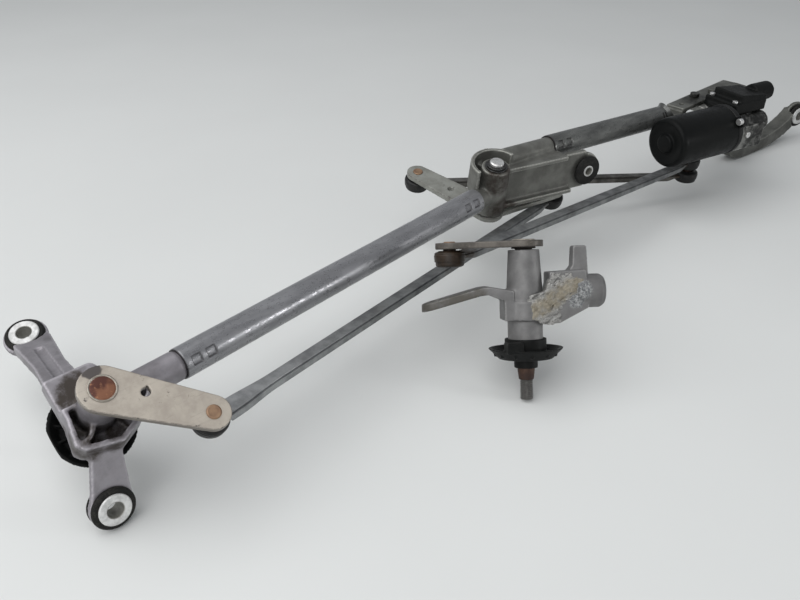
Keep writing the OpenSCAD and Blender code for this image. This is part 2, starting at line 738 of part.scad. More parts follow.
module gear_cover() {
  step_x = max(-12, can_len + flange_t + 8 - worm_reach);
  color(plastic_black) at_motor() difference() {
    translate([worm_reach, worm_offset, case_top + cover_gap]) {
      cylinder(r = case_r, h = 6);
      translate([-20, -26, 0]) cube([46, 43, 12]);
      translate([step_x, -24, 11]) rotate([0, 6, 0]) cube([28 - step_x, 38, 9]);
      translate([case_r + 0.6, -10, -16]) cube([18, 22, 28]);
      translate([24, -6, 12]) rotate([0, 90, 0]) cylinder(r = 10, h = 26);
    }
    rotate([0, 90, 0]) cylinder(r = can_r + 1.2, h = can_len + flange_t + 0.5);
  }
}

module gear_screws() {
  seat = case_top + 2 * cover_gap;
  screw_x = max(worm_reach - 16, can_len + flange_t + 4);
  color("#f0f0ee") at_motor() {
    for (turn = [145, 325]) rotate([turn, 0, 0]) translate([can_len - 4.5, can_r + 4.2, 0])
      rotate([0, 90, 0]) cylinder(r = 3.4, h = 4.5);
    translate([worm_reach - 8, -15 - slip, -5]) rotate([90, 0, 0]) cylinder(r = 3.2, h = 2.4);
    translate([worm_reach, worm_offset + case_r - 3.6, seat + 6]) cylinder(r = 2.8, h = 2.5);
    for (y = [-20, 11]) translate([screw_x, worm_offset + y, seat + 12]) cylinder(r = 2.8, h = 2.5);
  }
}

module worm_wheel() {
  teeth = 44;
  tooth_h = 1.6;
  color("#d8d2bd") at_output() translate([0, 0, -6]) difference() {
    union() {
      linear_extrude(12) polygon([
        for (i = [0:4 * teeth - 1])
          polar_xy(wheel_r - (i % 4 < 2 ? 0 : tooth_h), i * 90 / teeth)
      ]);
      translate([0, 0, 12 - eps]) cylinder(r = 10, h = 3);
    }
    translate([0, 0, -1]) cylinder(r = output_r + slip, h = 20);
  }
}

module output_shaft() {
  color(bright_metal) at_output() translate([0, 0, crank_low - 8])
    cylinder(r = output_r, h = 17 - crank_low);
}

module crank_arm() {
  color(zinc_steel) at_output() translate([0, 0, crank_low]) rotate([0, 0, crank_heading]) difference() {
    linear_extrude(crank_t) bar_outline(crank_reach, 13, 10.5);
    translate([0, 0, -1]) cylinder(r = output_r + slip, h = 10);
  }
}

module crank_nut() {
  color(bright_metal) at_output() translate([0, 0, crank_low - 7]) difference() {
    cylinder(r = 10.4, h = 7 - slip, $fn = 6);
    translate([0, 0, -1]) cylinder(r = output_r + slip, h = 10);
  }
}

// Profile of the curved arm, with x along it and y above the table
module arm_profile(len) {
  polygon([
    [-4, 94], [6, 94], [7, 40], [12, 29], [22, 21], [40, 16.5], [70, 17], [100, 24], [118, 32],
    [len - 10, 40],
    [len - 10, 19], [112, 11], [92, 5], [62, 1.2], [36, 0.4], [18, 1.5], [4, 7], [-4, 16]
  ]);
}

module at_far_mount() {
  row() translate(far_mount) rotate([90, 0, -20]) translate([0, 0, -eye_t / 2]) children();
}

// Bracket that joins the short tube, the motor and the far mount
module motor_bracket() {
  arm_root = [324, -7, 0];
  arm_heading = heading_of(arm_root, far_mount);
  arm_len = norm([far_mount.x - arm_root.x, far_mount.y - arm_root.y]);
  plate_x = short_tube_end.x + mouth_len + 1.5;
  plate_z = motor_face.z + case_top - 2.4;
  color(cast_grey) difference() {
    union() {
      tongue();
      row() translate([plate_x, -6, plate_z]) cube([arm_root.x + 3 - plate_x, 21, plate_t]);
      row() translate([plate_x, -5, plate_z - 5]) cube([9, 18, 6]);
      row() translate(arm_root) rotate([90, 0, arm_heading]) translate([0, 0, -9])
        linear_extrude(18) arm_profile(arm_len);
      at_far_mount() cylinder(r = 16, h = eye_t);
    }
    at_far_mount() eye_clear();
    at_motor() translate([worm_reach, worm_offset, 0]) cylinder(r = case_r + 0.4, h = case_top + 8);
    at_motor() for (x = bracket_screw_x) translate([x, ear_reach, case_top - 20])
      cylinder(r = 3 + slip, h = 60);
    row() translate([plate_x + 12, 4, plate_z - 1]) cylinder(r = 2.6, h = plate_t + 2);
  }
}

// Flat tongue of the bracket inside the short tube
module tongue() {
  down_line(short_tube_end, short_tube_start) intersection() {
    translate([0, 0, -mouth_len - 4]) cylinder(r = spigot_r, h = spigot_reach + mouth_len + 4);
    translate([-plate_t / 2, -20, -mouth_len - 5]) cube([plate_t, 40, spigot_reach + 30]);
  }
}

module bracket_screws() {
  color(bright_metal) at_motor() for (x = bracket_screw_x) translate([x, ear_reach, case_top - 12]) {
    cylinder(r = 3, h = 9.6 + plate_t + slip);
    translate([0, 0, 9.6 + plate_t + slip]) cylinder(r = 5, h = 4);
  }
}

module far_rubber() { at_far_mount() mount_rubber(mount_core_d / 2); }
module far_insert() { at_far_mount() flanged_insert(); }

// Broken-off right pivot: +X leads away from the viewer, +Y to the left
module side_profile(w) { rotate([90, 0, 90]) translate([0, 0, -w / 2]) linear_extrude(w) children(); }

module right_housing() {
  lug_reach = 66;
  color(cast_grey) at_broken() difference() {
    union() {
      translate([0, 0, boss_low]) cylinder(r = boss_r, h = 20);
      translate([0, 0, -26]) cylinder(r = 15, h = 14);
      translate([-12, 0, -26]) cube([24, 17, 14]);
      translate([0, 0, -14]) cylinder(r1 = 14, r2 = 11.6, h = boss_top + 14);
      intersection() {
        side_profile(24) polygon([
          [10, -14], [10, -4], [28, -0.5], [34, -1], [80, -13], [80, -19], [34, -7], [28, -6.5]
        ]);
        translate([0, 0, -30]) rotate([0, 0, 90]) linear_extrude(60) bar_outline(lug_reach, 12, 11);
      }
      side_profile(20) polygon([
        [-4, -29], [-4, -9], [-14, -8], [-16.5, 0], [-17, 9], [-44, 10], [-46, -18], [-24, -29]
      ]);
      side_profile(11) polygon([
        [-30, 7], [-35, 13], [-36, 27], [-37, 28], [-45, 28], [-46, 27], [-47, 7]
      ]);
      translate([0, -38, -6]) rotate([90, 0, 0]) cylinder(r = 12.6, h = 18);
      translate([0, -56, -6]) rotate([90, 0, 0]) cylinder(r1 = 12.6, r2 = 10.4, h = 3);
    }
    bush_bore(boss_low, boss_top);
    translate([0, lug_reach, -40]) cylinder(r = 4.5, h = 60);
  }
}

module right_bushes() { at_broken() bushes(boss_low, boss_top, spindle_r); }
// The right flange carries a raised tab
module right_cowl_flange() {
  at_broken() {
    cowl_flange(boss_low);
    color(plastic_black) translate([-24, 6, boss_low - 6]) rotate([0, 0, 8]) cube([10, 12, 8]);
  }
}

module right_spindle() { at_broken() spindle(); }
module right_lever() { at_broken() lever(broken_lever_heading, right_lever_reach); }
module right_ball_stud() { row() translate(broken_ball) rotate(broken_turn) ball_stud(lever_t); }

left_housing();
left_bushes();
left_cowl_flange();
left_spindle();
left_lever();
left_ball_stud();
left_upper_rubber();
left_upper_insert();
left_lower_rubber();
left_lower_insert();
long_tube();
short_tube();
centre_bracket();
centre_bushes();
centre_rubber();
centre_insert();
rocker_lever();
rocker_shaft();
rocker_washer();
rocker_circlip();
rocker_drive_stud();
rocker_out_stud();
left_rod();
left_rod_sockets();
left_rod_boots();
drive_rod();
drive_rod_sockets();
drive_rod_boots();
drive_rod_crank_stud();
right_rod();
right_rod_sockets();
right_rod_boots();
right_rod_crank_stud();
motor_bracket();
bracket_screws();
far_rubber();
far_insert();
motor_can();
motor_magnets();
brush_ring();
armature_shaft();
armature_core();
commutator();
gear_housing();
gear_cover();
gear_screws();
worm_wheel();
output_shaft();
crank_arm();
crank_nut();
right_housing();
right_bushes();
right_cowl_flange();
right_spindle();
right_lever();
right_ball_stud();
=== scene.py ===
# %% [markdown]
# # A broken windscreen wiper linkage
#
# The object is the linkage that sits under a car's windscreen: a motor turns a crank, rods with ball joints
# pass the motion on, and two spindles would carry the wiper arms. This one has been taken out and laid upside
# down, and the casting round its second spindle has snapped off, so that unit leans on the floor by its rod.
#
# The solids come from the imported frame, in metres. This script gives them the soft edges of castings, puts
# turned and drawn pieces in the place of the plain ones, and paints every surface with procedural materials.

# %% Load the frame
import math

import bmesh
import bpy
import numpy as np
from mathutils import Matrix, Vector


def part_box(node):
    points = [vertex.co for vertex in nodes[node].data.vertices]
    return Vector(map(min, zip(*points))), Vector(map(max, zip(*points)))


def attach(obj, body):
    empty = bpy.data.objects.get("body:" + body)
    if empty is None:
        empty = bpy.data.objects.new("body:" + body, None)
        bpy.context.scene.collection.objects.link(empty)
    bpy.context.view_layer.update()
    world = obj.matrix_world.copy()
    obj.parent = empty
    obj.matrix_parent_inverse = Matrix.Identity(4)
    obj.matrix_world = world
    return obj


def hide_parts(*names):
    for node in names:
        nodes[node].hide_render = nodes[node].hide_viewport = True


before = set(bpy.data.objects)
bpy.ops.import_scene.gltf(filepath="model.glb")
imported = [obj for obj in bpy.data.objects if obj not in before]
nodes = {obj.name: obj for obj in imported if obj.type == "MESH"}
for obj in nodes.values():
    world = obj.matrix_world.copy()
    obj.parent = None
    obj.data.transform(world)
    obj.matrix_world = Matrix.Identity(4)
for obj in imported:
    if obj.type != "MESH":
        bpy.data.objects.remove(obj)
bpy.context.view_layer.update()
MM = 0.001

# %% [markdown]
# ## Camera
#
# The photograph was taken from above the left end, looking along the linkage, so the left unit is large and
# the motor is small. The camera was found by laying the model over the photograph until both ends met: a lens
# of 36 mm on a sensor of 36 mm, pitched 33 degrees down and not rolled. Only these numbers are kept here.

# %% Camera
eye = np.array([-576.6, -404.45, 393.0]) * MM
pitch = math.radians(33.2)
heading = math.atan2(0.731, 0.682)
camera_data = bpy.data.cameras.new("photo_camera")
camera_data.lens = 36.0
camera_data.sensor_width = 36.0
camera_data.clip_start = 0.01
camera = bpy.data.objects.new("photo_camera", camera_data)
camera.location = eye
camera.rotation_euler = (math.pi / 2 - pitch, 0.0, heading - math.pi / 2)
bpy.context.scene.collection.objects.link(camera)
bpy.context.scene.camera = camera
print("camera at", eye.tolist(), "pitched", math.degrees(pitch))

# %% [markdown]
# ## Light
#
# The linkage lies on a pale table under soft light from above. One large area lamp overhead lights it, a
# weaker one from the camera's side fills the shadows, and a grey world does the rest. A small lamp low on the
# right stands for a window: mirrored in the long tube, it draws the bright streak along it. Together they
# light a white sheet to about white, so a colour renders about as it is written.

# %% Light
scene = bpy.context.scene
scene.view_settings.view_transform = "Standard"


def lamp(name, place, target, size, power, spread=180.0):
    """A square area lamp of that size in metres, turned to look from its place at the target.

    The spread is the width of its beam in degrees."""
    data = bpy.data.lights.new(name, "AREA")
    data.shape = "SQUARE"
    data.size = size
    data.energy = power
    data.spread = math.radians(spread)
    holder = bpy.data.objects.new(name, data)
    look = np.array(target) - np.array(place)
    look = look / np.linalg.norm(look)
    holder.location = place
    holder.rotation_euler = (math.acos(-look[2]), 0.0, math.atan2(look[1], look[0]) - math.pi / 2)
    holder.visible_camera = False
    scene.collection.objects.link(holder)


lamp("overhead", (-1.0, 0.2, 1.45), (-0.25, 0.0, 0.0), 2.2, 27.0)
lamp("side_fill", (-1.5, -0.9, 0.9), (-0.1, 0.0, 0.05), 1.2, 7.0)
lamp("low_window", (0.55, -1.19, 0.32), (-0.31, 0.0, 0.08), 0.26, 0.40, 60.0)
world = bpy.data.worlds.new("room")
world.use_nodes = True
backdrop = world.node_tree.nodes["Background"].inputs
backdrop["Color"].default_value = (0.93, 0.96, 1.0, 1.0)
backdrop["Strength"].default_value = 0.38
scene.world = world

# %% [markdown]
# ## A small kit for finishes
#
# A real metal surface is never one colour: it has cloudy patches, fine grain, bright rubbed edges and dirt.
# Each finish below is built from the same few nodes, all read from Object coordinates, so the pattern stays on
# the piece when it moves. The `Finish` class only shortens the node wiring.


# %% The finish kit
class Finish:
    """A material being wired: noise patterns in, colour, roughness and bump out."""

    def __init__(self, name, metallic=0.0):
        self.material = bpy.data.materials.new(name)
        self.material.use_nodes = True
        self.tree = self.material.node_tree
        self.shader = self.tree.nodes["Principled BSDF"]
        self.shader.inputs["Metallic"].default_value = metallic
        self.spot = self.node("ShaderNodeTexCoord").outputs["Object"]

    def node(self, kind, **settings):
        """A new node of that kind with the given settings."""
        made = self.tree.nodes.new(kind)
        for key, value in settings.items():
            setattr(made, key, value)
        return made

    def wire(self, source, target):
        """Link a socket to an input, or set the input if the source is a plain value."""
        if isinstance(source, bpy.types.NodeSocket):
            self.tree.links.new(source, target)
        else:
            target.default_value = source

    def noise(self, grain_mm, detail, rough, stretch=(1.0, 1.0, 1.0), shift=0.0):
        """Cloudy value about 0.5, whose patches are grain_mm across, stretched along each axis."""
        mapping = self.node("ShaderNodeMapping")
        mapping.inputs["Scale"].default_value = [1.0 / s for s in stretch]
        mapping.inputs["Location"].default_value = (shift, shift, shift)
        self.wire(self.spot, mapping.inputs["Vector"])
        tex = self.node("ShaderNodeTexNoise")
        tex.inputs["Scale"].default_value = 1000.0 / grain_mm
        tex.inputs["Detail"].default_value = detail
        tex.inputs["Roughness"].default_value = rough
        self.wire(mapping.outputs["Vector"], tex.inputs["Vector"])
        return tex.outputs["Fac"]

    def band(self, value, low, high, out_low=0.0, out_high=1.0):
        """The value between low and high, spread smoothly from out_low to out_high."""
        m = self.node("ShaderNodeMapRange", interpolation_type="SMOOTHSTEP")
        self.wire(value, m.inputs["Value"])
        limits = {"From Min": low, "From Max": high, "To Min": out_low, "To Max": out_high}
        for key, number in limits.items():
            m.inputs[key].default_value = number
        return m.outputs["Result"]

    def mix(self, share, one, two):
        """Colour one where share is 0, colour two where it is 1."""
        m = self.node("ShaderNodeMix", data_type="RGBA")
        self.wire(share, m.inputs["Factor"])
        colour_a, colour_b, result = m.inputs[6], m.inputs[7], m.outputs[2]
        for colour, target in ((one, colour_a), (two, colour_b)):
            self.wire((*colour, 1.0) if isinstance(colour, tuple) else colour, target)
        return result

    def calc(self, one, two, how="ADD"):
        """Two values added, or joined by another operation, and kept between 0 and 1."""
        m = self.node("ShaderNodeMath", operation=how, use_clamp=True)
        self.wire(one, m.inputs[0])
        self.wire(two, m.inputs[1])
        return m.outputs[0]

    def edge(self, low, high):
        """1 on convex edges and 0 on flats, from the mesh's own curvature."""
        return self.band(self.node("ShaderNodeNewGeometry").outputs["Pointiness"], low, high)

    def near(self, spot_mm, radius_mm, soft_mm):
        """1 within radius_mm of a spot of the shared frame, falling to 0 over soft_mm, with a ragged edge."""
        far = self.node("ShaderNodeVectorMath", operation="DISTANCE")
        self.wire(self.spot, far.inputs[0])
        far.inputs[1].default_value = [c * MM for c in spot_mm]
        ragged_mm, mean_noise = 0.9 * radius_mm, 0.5
        ragged = self.node("ShaderNodeMath", operation="MULTIPLY_ADD")
        self.wire(self.noise(5.0, 6.0, 0.7), ragged.inputs[0])
        ragged.inputs[1].default_value = ragged_mm * MM
        self.wire(far.outputs["Value"], ragged.inputs[2])
        start = (radius_mm + mean_noise * ragged_mm) * MM
        return self.band(ragged.outputs[0], start, start + soft_mm * MM, 1.0, 0.0)

    def along(self, axis):
        """How far each point lies along an axis from the frame's origin, in metres."""
        reach = self.node("ShaderNodeVectorMath", operation="DOT_PRODUCT")
        self.wire(self.spot, reach.inputs[0])
        reach.inputs[1].default_value = axis
        return reach.outputs["Value"]

    def mark(self, name):
        """A named attribute of the mesh, as a value."""
        return self.node("ShaderNodeAttribute", attribute_name=name).outputs["Fac"]

    def bump(self, height, depth_mm, strength):
        """Small relief in the shading only, of that depth."""
        b = self.node("ShaderNodeBump")
        b.inputs["Strength"].default_value = strength
        b.inputs["Distance"].default_value = depth_mm * MM
        self.wire(height, b.inputs["Height"])
        self.wire(b.outputs["Normal"], self.shader.inputs["Normal"])

    def done(self, colour, roughness):
        """Wire the last two inputs and hand over the material."""
        self.wire(colour, self.shader.inputs["Base Color"])
        self.wire(roughness, self.shader.inputs["Roughness"])
        return self.material


print("finish kit ready")

# %% [markdown]
# ## Cast metal, tube and rods
#
# The housings are die-cast zinc-aluminium: grey with a faint violet tint, cloudy, finely grained, a little
# brighter at the edges, where rubbed wear and a painted highlight are laid in, and darker where road dirt has
# settled. The tubes are smoother, with pale blotches and dark specks in lines along them. The rods are dull
# galvanised steel.


# %% Cast metal, tube and rods
def cast_finish(name, light, dark, grime, shine, dirty_spots=(), black_side=None, rub_and_highlight=1.9,
                soil=(0.045, 0.036, 0.030), chipped_spots=()):
    """Two greys in clouds, grime in patches, soil round dirty spots, edges paler from wear and a painted
    highlight.

    Round a chipped spot the skin is gone, and the grain below shows as pale and dark specks. What lies behind
    the plane of black_side, an axis and a distance, is black."""
    f = Finish(name, metallic=0.45)
    cloud = f.noise(22.0, 6.0, 0.62)
    colour = f.mix(f.band(cloud, 0.32, 0.68), dark, light)
    colour = f.mix(f.band(f.noise(60.0, 5.0, 0.7, shift=3.0), 0.56, 0.74, 0.0, 0.6), colour, grime)
    colour = f.mix(f.band(f.noise(1.6, 3.0, 0.7), 0.62, 0.75, 0.0, 0.35), colour, grime)
    # Painted highlight and wear: convex edges are painted paler than the light grey.
    colour = f.mix(f.edge(0.508, 0.555), colour, tuple(min(1.0, c * rub_and_highlight) for c in light))
    for spot, radius in dirty_spots:
        thick = f.band(f.noise(6.0, 5.0, 0.7), 0.3, 0.6, 0.35, 1.0)
        colour = f.mix(f.calc(f.near(spot, radius, radius * 0.6), thick, "MULTIPLY"), colour, soil)
    for spot, radius in chipped_spots:
        crystal = f.band(f.noise(1.6, 5.0, 0.75), 0.40, 0.64)
        bare = f.mix(crystal, (0.10, 0.105, 0.11), (0.37, 0.375, 0.37))
        colour = f.mix(f.near(spot, radius, radius * 0.5), colour, bare)
    if black_side:
        *axis, level = black_side
        behind = f.band(f.along(axis), (level - 0.3) * MM, (level + 0.3) * MM, 1.0, 0.0)
        colour = f.mix(behind, colour, (0.008, 0.008, 0.008))
    f.bump(f.calc(f.noise(0.9, 3.0, 0.6), f.noise(7.0, 3.0, 0.5)), 0.22, 0.5)
    return f.done(colour, f.band(cloud, 0.3, 0.7, shine + 0.16, shine))


def tube_finish(name, dark, light):
    """Satin grey with pale blotches drawn out along x, dark specks, and painted shade where the mesh is marked.
    """
    f = Finish(name, metallic=0.55)
    streak = f.noise(9.0, 6.0, 0.65, stretch=(4.0, 1.0, 1.0))
    speck = f.band(f.noise(3.0, 4.0, 0.7), 0.63, 0.71, 0.0, 0.8)
    colour = f.mix(f.band(streak, 0.32, 0.70), dark, light)
    colour = f.mix(speck, colour, tuple(c * 0.4 for c in dark))
    # Painted shade: the marked dent rims, dents and end gap are darkened.
    colour = f.mix(f.mark("shade_and_soot"), colour, (0.03, 0.027, 0.028))
    f.bump(f.calc(f.noise(2.6, 4.0, 0.6), f.noise(9.0, 3.0, 0.5)), 0.17, 0.6)
    fleck = f.noise(4.5, 5.0, 0.7, stretch=(1.6, 1.0, 1.0))
    return f.done(colour, f.band(fleck, 0.38, 0.64, 0.42, 0.24))


def rod_finish(name, dark, light):
    """Dull galvanised grey with faint lengthwise rolling lines and brown dirt; paler where marked as rubbed."""
    f = Finish(name, metallic=0.55)
    cloud = f.noise(14.0, 5.0, 0.6)
    patch = f.band(cloud, 0.34, 0.66)
    dirt = f.band(f.noise(38.0, 6.0, 0.7, shift=1.0), 0.55, 0.72, 0.0, 0.55)
    colour = f.mix(dirt, f.mix(patch, dark, light), (0.11, 0.095, 0.078))
    pale = f.mix(patch, (0.225, 0.23, 0.235), (0.36, 0.365, 0.37))
    colour = f.mix(f.mark("rubbed"), colour, pale)
    smear = f.band(f.calc(f.mark("grease"), f.noise(6.0, 5.0, 0.7), "MULTIPLY"), 0.16, 0.42)
    colour = f.mix(smear, colour, (0.045, 0.032, 0.022))
    f.bump(f.noise(0.8, 3.0, 0.6, stretch=(9.0, 1.0, 1.0)), 0.1, 0.4)
    return f.done(colour, f.band(cloud, 0.3, 0.7, 0.55, 0.38))


cast_violet = cast_finish(
    "cast_violet", (0.285, 0.271, 0.29), (0.195, 0.184, 0.197), (0.075, 0.068, 0.068), 0.40,
    [((-472.0, -20.0, 62.0), 9.0), ((-458.0, -26.0, 60.0), 7.0), ((-467.0, -0.3, 78.5), 8.0),
     ((-467.0, 4.5, 81.3), 7.0), ((-462.0, 7.0, 83.0), 7.0), ((-452.0, -16.0, 57.5), 6.0),
     ((-471.5, -6.0, 64.5), 6.0)], rub_and_highlight=1.5)
# Painted shade: the centre bracket's greys are darkened for the weaker light at the middle; its soil spots are
# dirt.
cast_dusty_shaded = cast_finish(
    "cast_dusty_shaded", (0.175, 0.175, 0.16), (0.10, 0.10, 0.09), (0.045, 0.042, 0.036), 0.40,
    [((-70.0, 5.0, 96.0), 13.0), ((-60.0, 10.0, 60.0), 12.0)])
cast_grimy = cast_finish(
    "cast_grimy", (0.125, 0.126, 0.114), (0.07, 0.071, 0.063), (0.032, 0.031, 0.027), 0.42,
    [((249.0, 0.0, 95.0), 13.0)], rub_and_highlight=1.5, soil=(0.016, 0.016, 0.014))
cast_broken = cast_finish(
    "cast_broken", (0.195, 0.192, 0.190), (0.128, 0.126, 0.125), (0.085, 0.08, 0.07), 0.46,
    [((-228.0, -66.0, 70.0), 13.0), ((-208.0, -80.0, 76.0), 11.0)], rub_and_highlight=1.35, soil=(0.088, 0.082, 0.070),
    chipped_spots=[((-143.0, -135.0, 79.0), 6.5), ((-147.0, -134.0, 72.0), 5.0)])
drawn_tube = tube_finish("drawn_tube", (0.205, 0.206, 0.215), (0.285, 0.286, 0.298))
# Painted shade: the short tube's greys are darker than the long tube's, for the weaker light at that end.
shaded_tube = tube_finish("shaded_tube", (0.078, 0.080, 0.077), (0.165, 0.168, 0.160))
galvanised_rod = rod_finish("galvanised_rod", (0.105, 0.108, 0.111), (0.20, 0.206, 0.205))
grimy_rod = rod_finish("grimy_rod", (0.05, 0.047, 0.042), (0.115, 0.11, 0.10))
print("grey finishes ready")

# %% [markdown]
# ## Zinc plate, rust and bright steel
#
# The levers are stamped plates with a cream zinc coat: stained, scratched, and dark along the edges where the
# coat has gone. The spindles and ball studs are bare steel that has rusted to a copper brown, apart from the
# rolled rim of the rivet head and the thread, which shine. Attributes on the meshes say where.


# %% Zinc plate, rust and bright steel
def zinc_finish(name, light, dark, dirt, chip=None, top=None):
    """Cream coat with cloudy stains, fine scratches along x, and dark worn edges and chips.

    A chip adds one worn spot. Below the plane of top, an axis and a distance, the side walls get painted shade
    and dirt."""
    f = Finish(name, metallic=0.25)
    cloud = f.noise(16.0, 6.0, 0.65)
    scratch = f.band(f.noise(1.2, 3.0, 0.6, stretch=(12.0, 1.0, 1.0)), 0.58, 0.7, 0.0, 0.3)
    colour = f.mix(scratch, f.mix(f.band(cloud, 0.34, 0.66), dark, light), (0.24, 0.21, 0.18))
    chips = f.band(f.noise(7.0, 7.0, 0.75, shift=2.0), 0.61 - 0.1 * dirt, 0.67)
    edges = f.calc(f.edge(0.51, 0.56), f.band(f.noise(3.0, 4.0, 0.6), 0.3, 0.55), "MULTIPLY")
    worn = f.calc(edges, chips, "MAXIMUM")
    if chip:
        worn = f.calc(worn, f.near(chip, 5.0, 1.5), "MAXIMUM")
    # Painted shade, with some dirt: the side walls below the top plane are darkened.
    if top:
        *axis, level = top
        wall_shade = f.band(f.along(axis), (level - 0.7) * MM, level * MM, 0.75, 0.0)
        colour = f.mix(wall_shade, colour, (0.115, 0.104, 0.092))
    colour = f.mix(worn, colour, (0.075, 0.066, 0.062))
    f.bump(f.calc(f.noise(1.4, 4.0, 0.6), f.calc(1.0, chips, "SUBTRACT")), 0.15, 0.5)
    return f.done(colour, f.band(cloud, 0.3, 0.7, 0.52, 0.38))


def spindle_finish():
    """Copper brown rust with orange spots, and worn, stained steel where the mesh is marked to shine.

    Further marks are shade_and_soot for darker rust, rubbed for paler rust, and oiled for darker steel."""
    f = Finish("rusted_spindle", metallic=0.55)
    patch = f.noise(8.0, 4.0, 0.55, shift=0.004)
    rust = f.mix(f.band(patch, 0.38, 0.62), (0.085, 0.031, 0.023), (0.215, 0.095, 0.054))
    rust = f.mix(f.band(f.noise(2.6, 4.0, 0.6), 0.58, 0.74, 0.0, 0.6), rust, (0.42, 0.21, 0.11))
    rust = f.mix(f.mark("shade_and_soot"), rust, (0.022, 0.018, 0.015))
    pale = f.mix(f.band(patch, 0.36, 0.66), (0.24, 0.15, 0.095), (0.37, 0.25, 0.155))
    rust = f.mix(f.mark("rubbed"), rust, pale)
    bare = f.mix(f.band(f.noise(4.0, 5.0, 0.6), 0.36, 0.7), (0.36, 0.335, 0.29), (0.22, 0.19, 0.16))
    oily = f.mix(f.noise(1.5, 4.0, 0.6), (0.06, 0.056, 0.052), (0.22, 0.215, 0.205))
    bare = f.mix(f.mark("oiled"), bare, oily)
    shine = f.band(f.calc(f.mark("shine"), f.band(patch, 0.3, 0.7, -0.15, 0.15)), 0.35, 0.6)
    f.bump(patch, 0.2, 0.6)
    return f.done(f.mix(shine, rust, bare), f.band(shine, 0.0, 1.0, 0.55, 0.38))


def bright_finish(name, light, dark, smear_mm, metallic=0.85, gloss=0.22):
    """Plated steel: pale, with grey smears and fine pits, and painted shade where the mesh is marked."""
    f = Finish(name, metallic=metallic)
    smear = f.noise(smear_mm, 6.0, 0.65)
    colour = f.mix(f.band(smear, 0.36, 0.66), light, dark)
    colour = f.mix(f.mark("shade_and_soot"), colour, (0.17, 0.165, 0.14))
    f.bump(f.noise(0.7, 3.0, 0.6), 0.05, 0.4)
    return f.done(colour, f.band(smear, 0.3, 0.7, gloss, gloss + 0.2))


zinc_cream = zinc_finish("zinc_cream", (0.46, 0.415, 0.355), (0.35, 0.31, 0.265), 0.0,
                         (-459.0, -17.6, 107.4), (0.0, -0.5736, 0.8192, 97.7))
zinc_grey = zinc_finish("zinc_grey", (0.28, 0.285, 0.26), (0.19, 0.19, 0.17), 0.1)
zinc_greasy = zinc_finish("zinc_greasy", (0.125, 0.112, 0.096), (0.052, 0.046, 0.039), 0.4)
rusted_spindle = spindle_finish()
bright_plate = bright_finish("bright_plate", (0.82, 0.82, 0.81), (0.52, 0.51, 0.50), 5.0)
insert_plate = bright_finish("insert_plate", (0.70, 0.70, 0.69), (0.50, 0.50, 0.49), 5.0, 0.4, 0.42)
dark_spring = bright_finish("dark_spring", (0.10, 0.10, 0.10), (0.045, 0.043, 0.04), 3.0)
bronze_bush = bright_finish("bronze_bush", (0.42, 0.27, 0.12), (0.25, 0.15, 0.07), 4.0)
print("plate and steel finishes ready")

# %% [markdown]
# ## Rubber, plastic, paint and aluminium
#
# Black is the hardest finish to keep alive: dust, rub marks and a changing gloss make it read as a real
# surface. The grommets are matt rubber, the boots are greasy, the cowl flanges are moulded plastic, and the
# motor's can has semi-gloss paint.


# %% Rubber, plastic, paint and aluminium
def black_finish(name, deep, dusty, gloss, grain_mm, dust_share, greasy=False, sheen=0.28):
    """Near black with pale dust in cloudy patches, which also dull the gloss, and brown grease where marked."""
    f = Finish(name)
    f.shader.inputs["Specular IOR Level"].default_value = sheen
    dust = f.calc(f.noise(11.0, 6.0, 0.7), f.noise(grain_mm, 3.0, 0.6), "MULTIPLY")
    colour = f.mix(f.band(dust, 0.2, 0.42, 0.0, dust_share), deep, dusty)
    if greasy:
        thick = f.band(f.noise(5.0, 5.0, 0.7), 0.3, 0.6, 0.45, 1.0)
        grease = f.mix(f.noise(2.0, 4.0, 0.6), (0.012, 0.008, 0.006), (0.052, 0.034, 0.021))
        colour = f.mix(f.calc(f.mark("grease"), thick, "MULTIPLY"), colour, grease)
    f.bump(f.noise(grain_mm, 3.0, 0.6), 0.1, 0.5)
    return f.done(colour, f.band(dust, 0.15, 0.4, gloss, min(0.95, gloss + 0.28)))


matt_rubber = black_finish("matt_rubber", (0.009, 0.009, 0.0085), (0.045, 0.043, 0.038), 0.52, 0.9, 0.75,
                           sheen=0.16)
boot_rubber = black_finish("boot_rubber", (0.008, 0.008, 0.0085), (0.035, 0.032, 0.029), 0.30, 1.4, 0.6,
                           greasy=True)
cup_plastic = black_finish("cup_plastic", (0.009, 0.010, 0.0095), (0.035, 0.033, 0.030), 0.38, 0.6, 0.5,
                           greasy=True)
moulded_plastic = black_finish("moulded_plastic", (0.0045, 0.005, 0.0048), (0.015, 0.0145, 0.013), 0.42, 0.6,
                               0.5, sheen=0.14)
can_paint = black_finish("can_paint", (0.0045, 0.005, 0.005), (0.012, 0.012, 0.011), 0.34, 1.1, 0.5,
                         sheen=0.10)
gear_nylon = black_finish("gear_nylon", (0.50, 0.48, 0.40), (0.66, 0.63, 0.54), 0.40, 0.8, 0.6)
brush_holder = black_finish("brush_holder", (0.10, 0.055, 0.03), (0.18, 0.11, 0.07), 0.45, 0.8, 0.6)
bare_aluminium = cast_finish(
    "bare_aluminium", (0.27, 0.27, 0.255), (0.17, 0.17, 0.16), (0.05, 0.05, 0.043), 0.40,
    [((262.0, -66.0, 58.0), 16.0), ((256.0, -58.0, 90.0), 15.0), ((276.0, -62.0, 86.0), 12.0)],
    (0.971, -0.2385, 0.0, 233.4), soil=(0.012, 0.012, 0.011))
print("dark finishes ready")

# %% [markdown]
# ## Soft edges on the castings and plates
#
# A casting has no sharp edge anywhere: the mould gives every corner a radius. Modelling each one by hand would
# take hundreds of fillets. A voxel remesh of the solid, followed by a few rounds of smoothing, rounds all of
# them at once, and it also gives an even mesh on which edge wear can be read from the curvature. It runs as
# modifiers, so the frame's own vertices stay as they are.


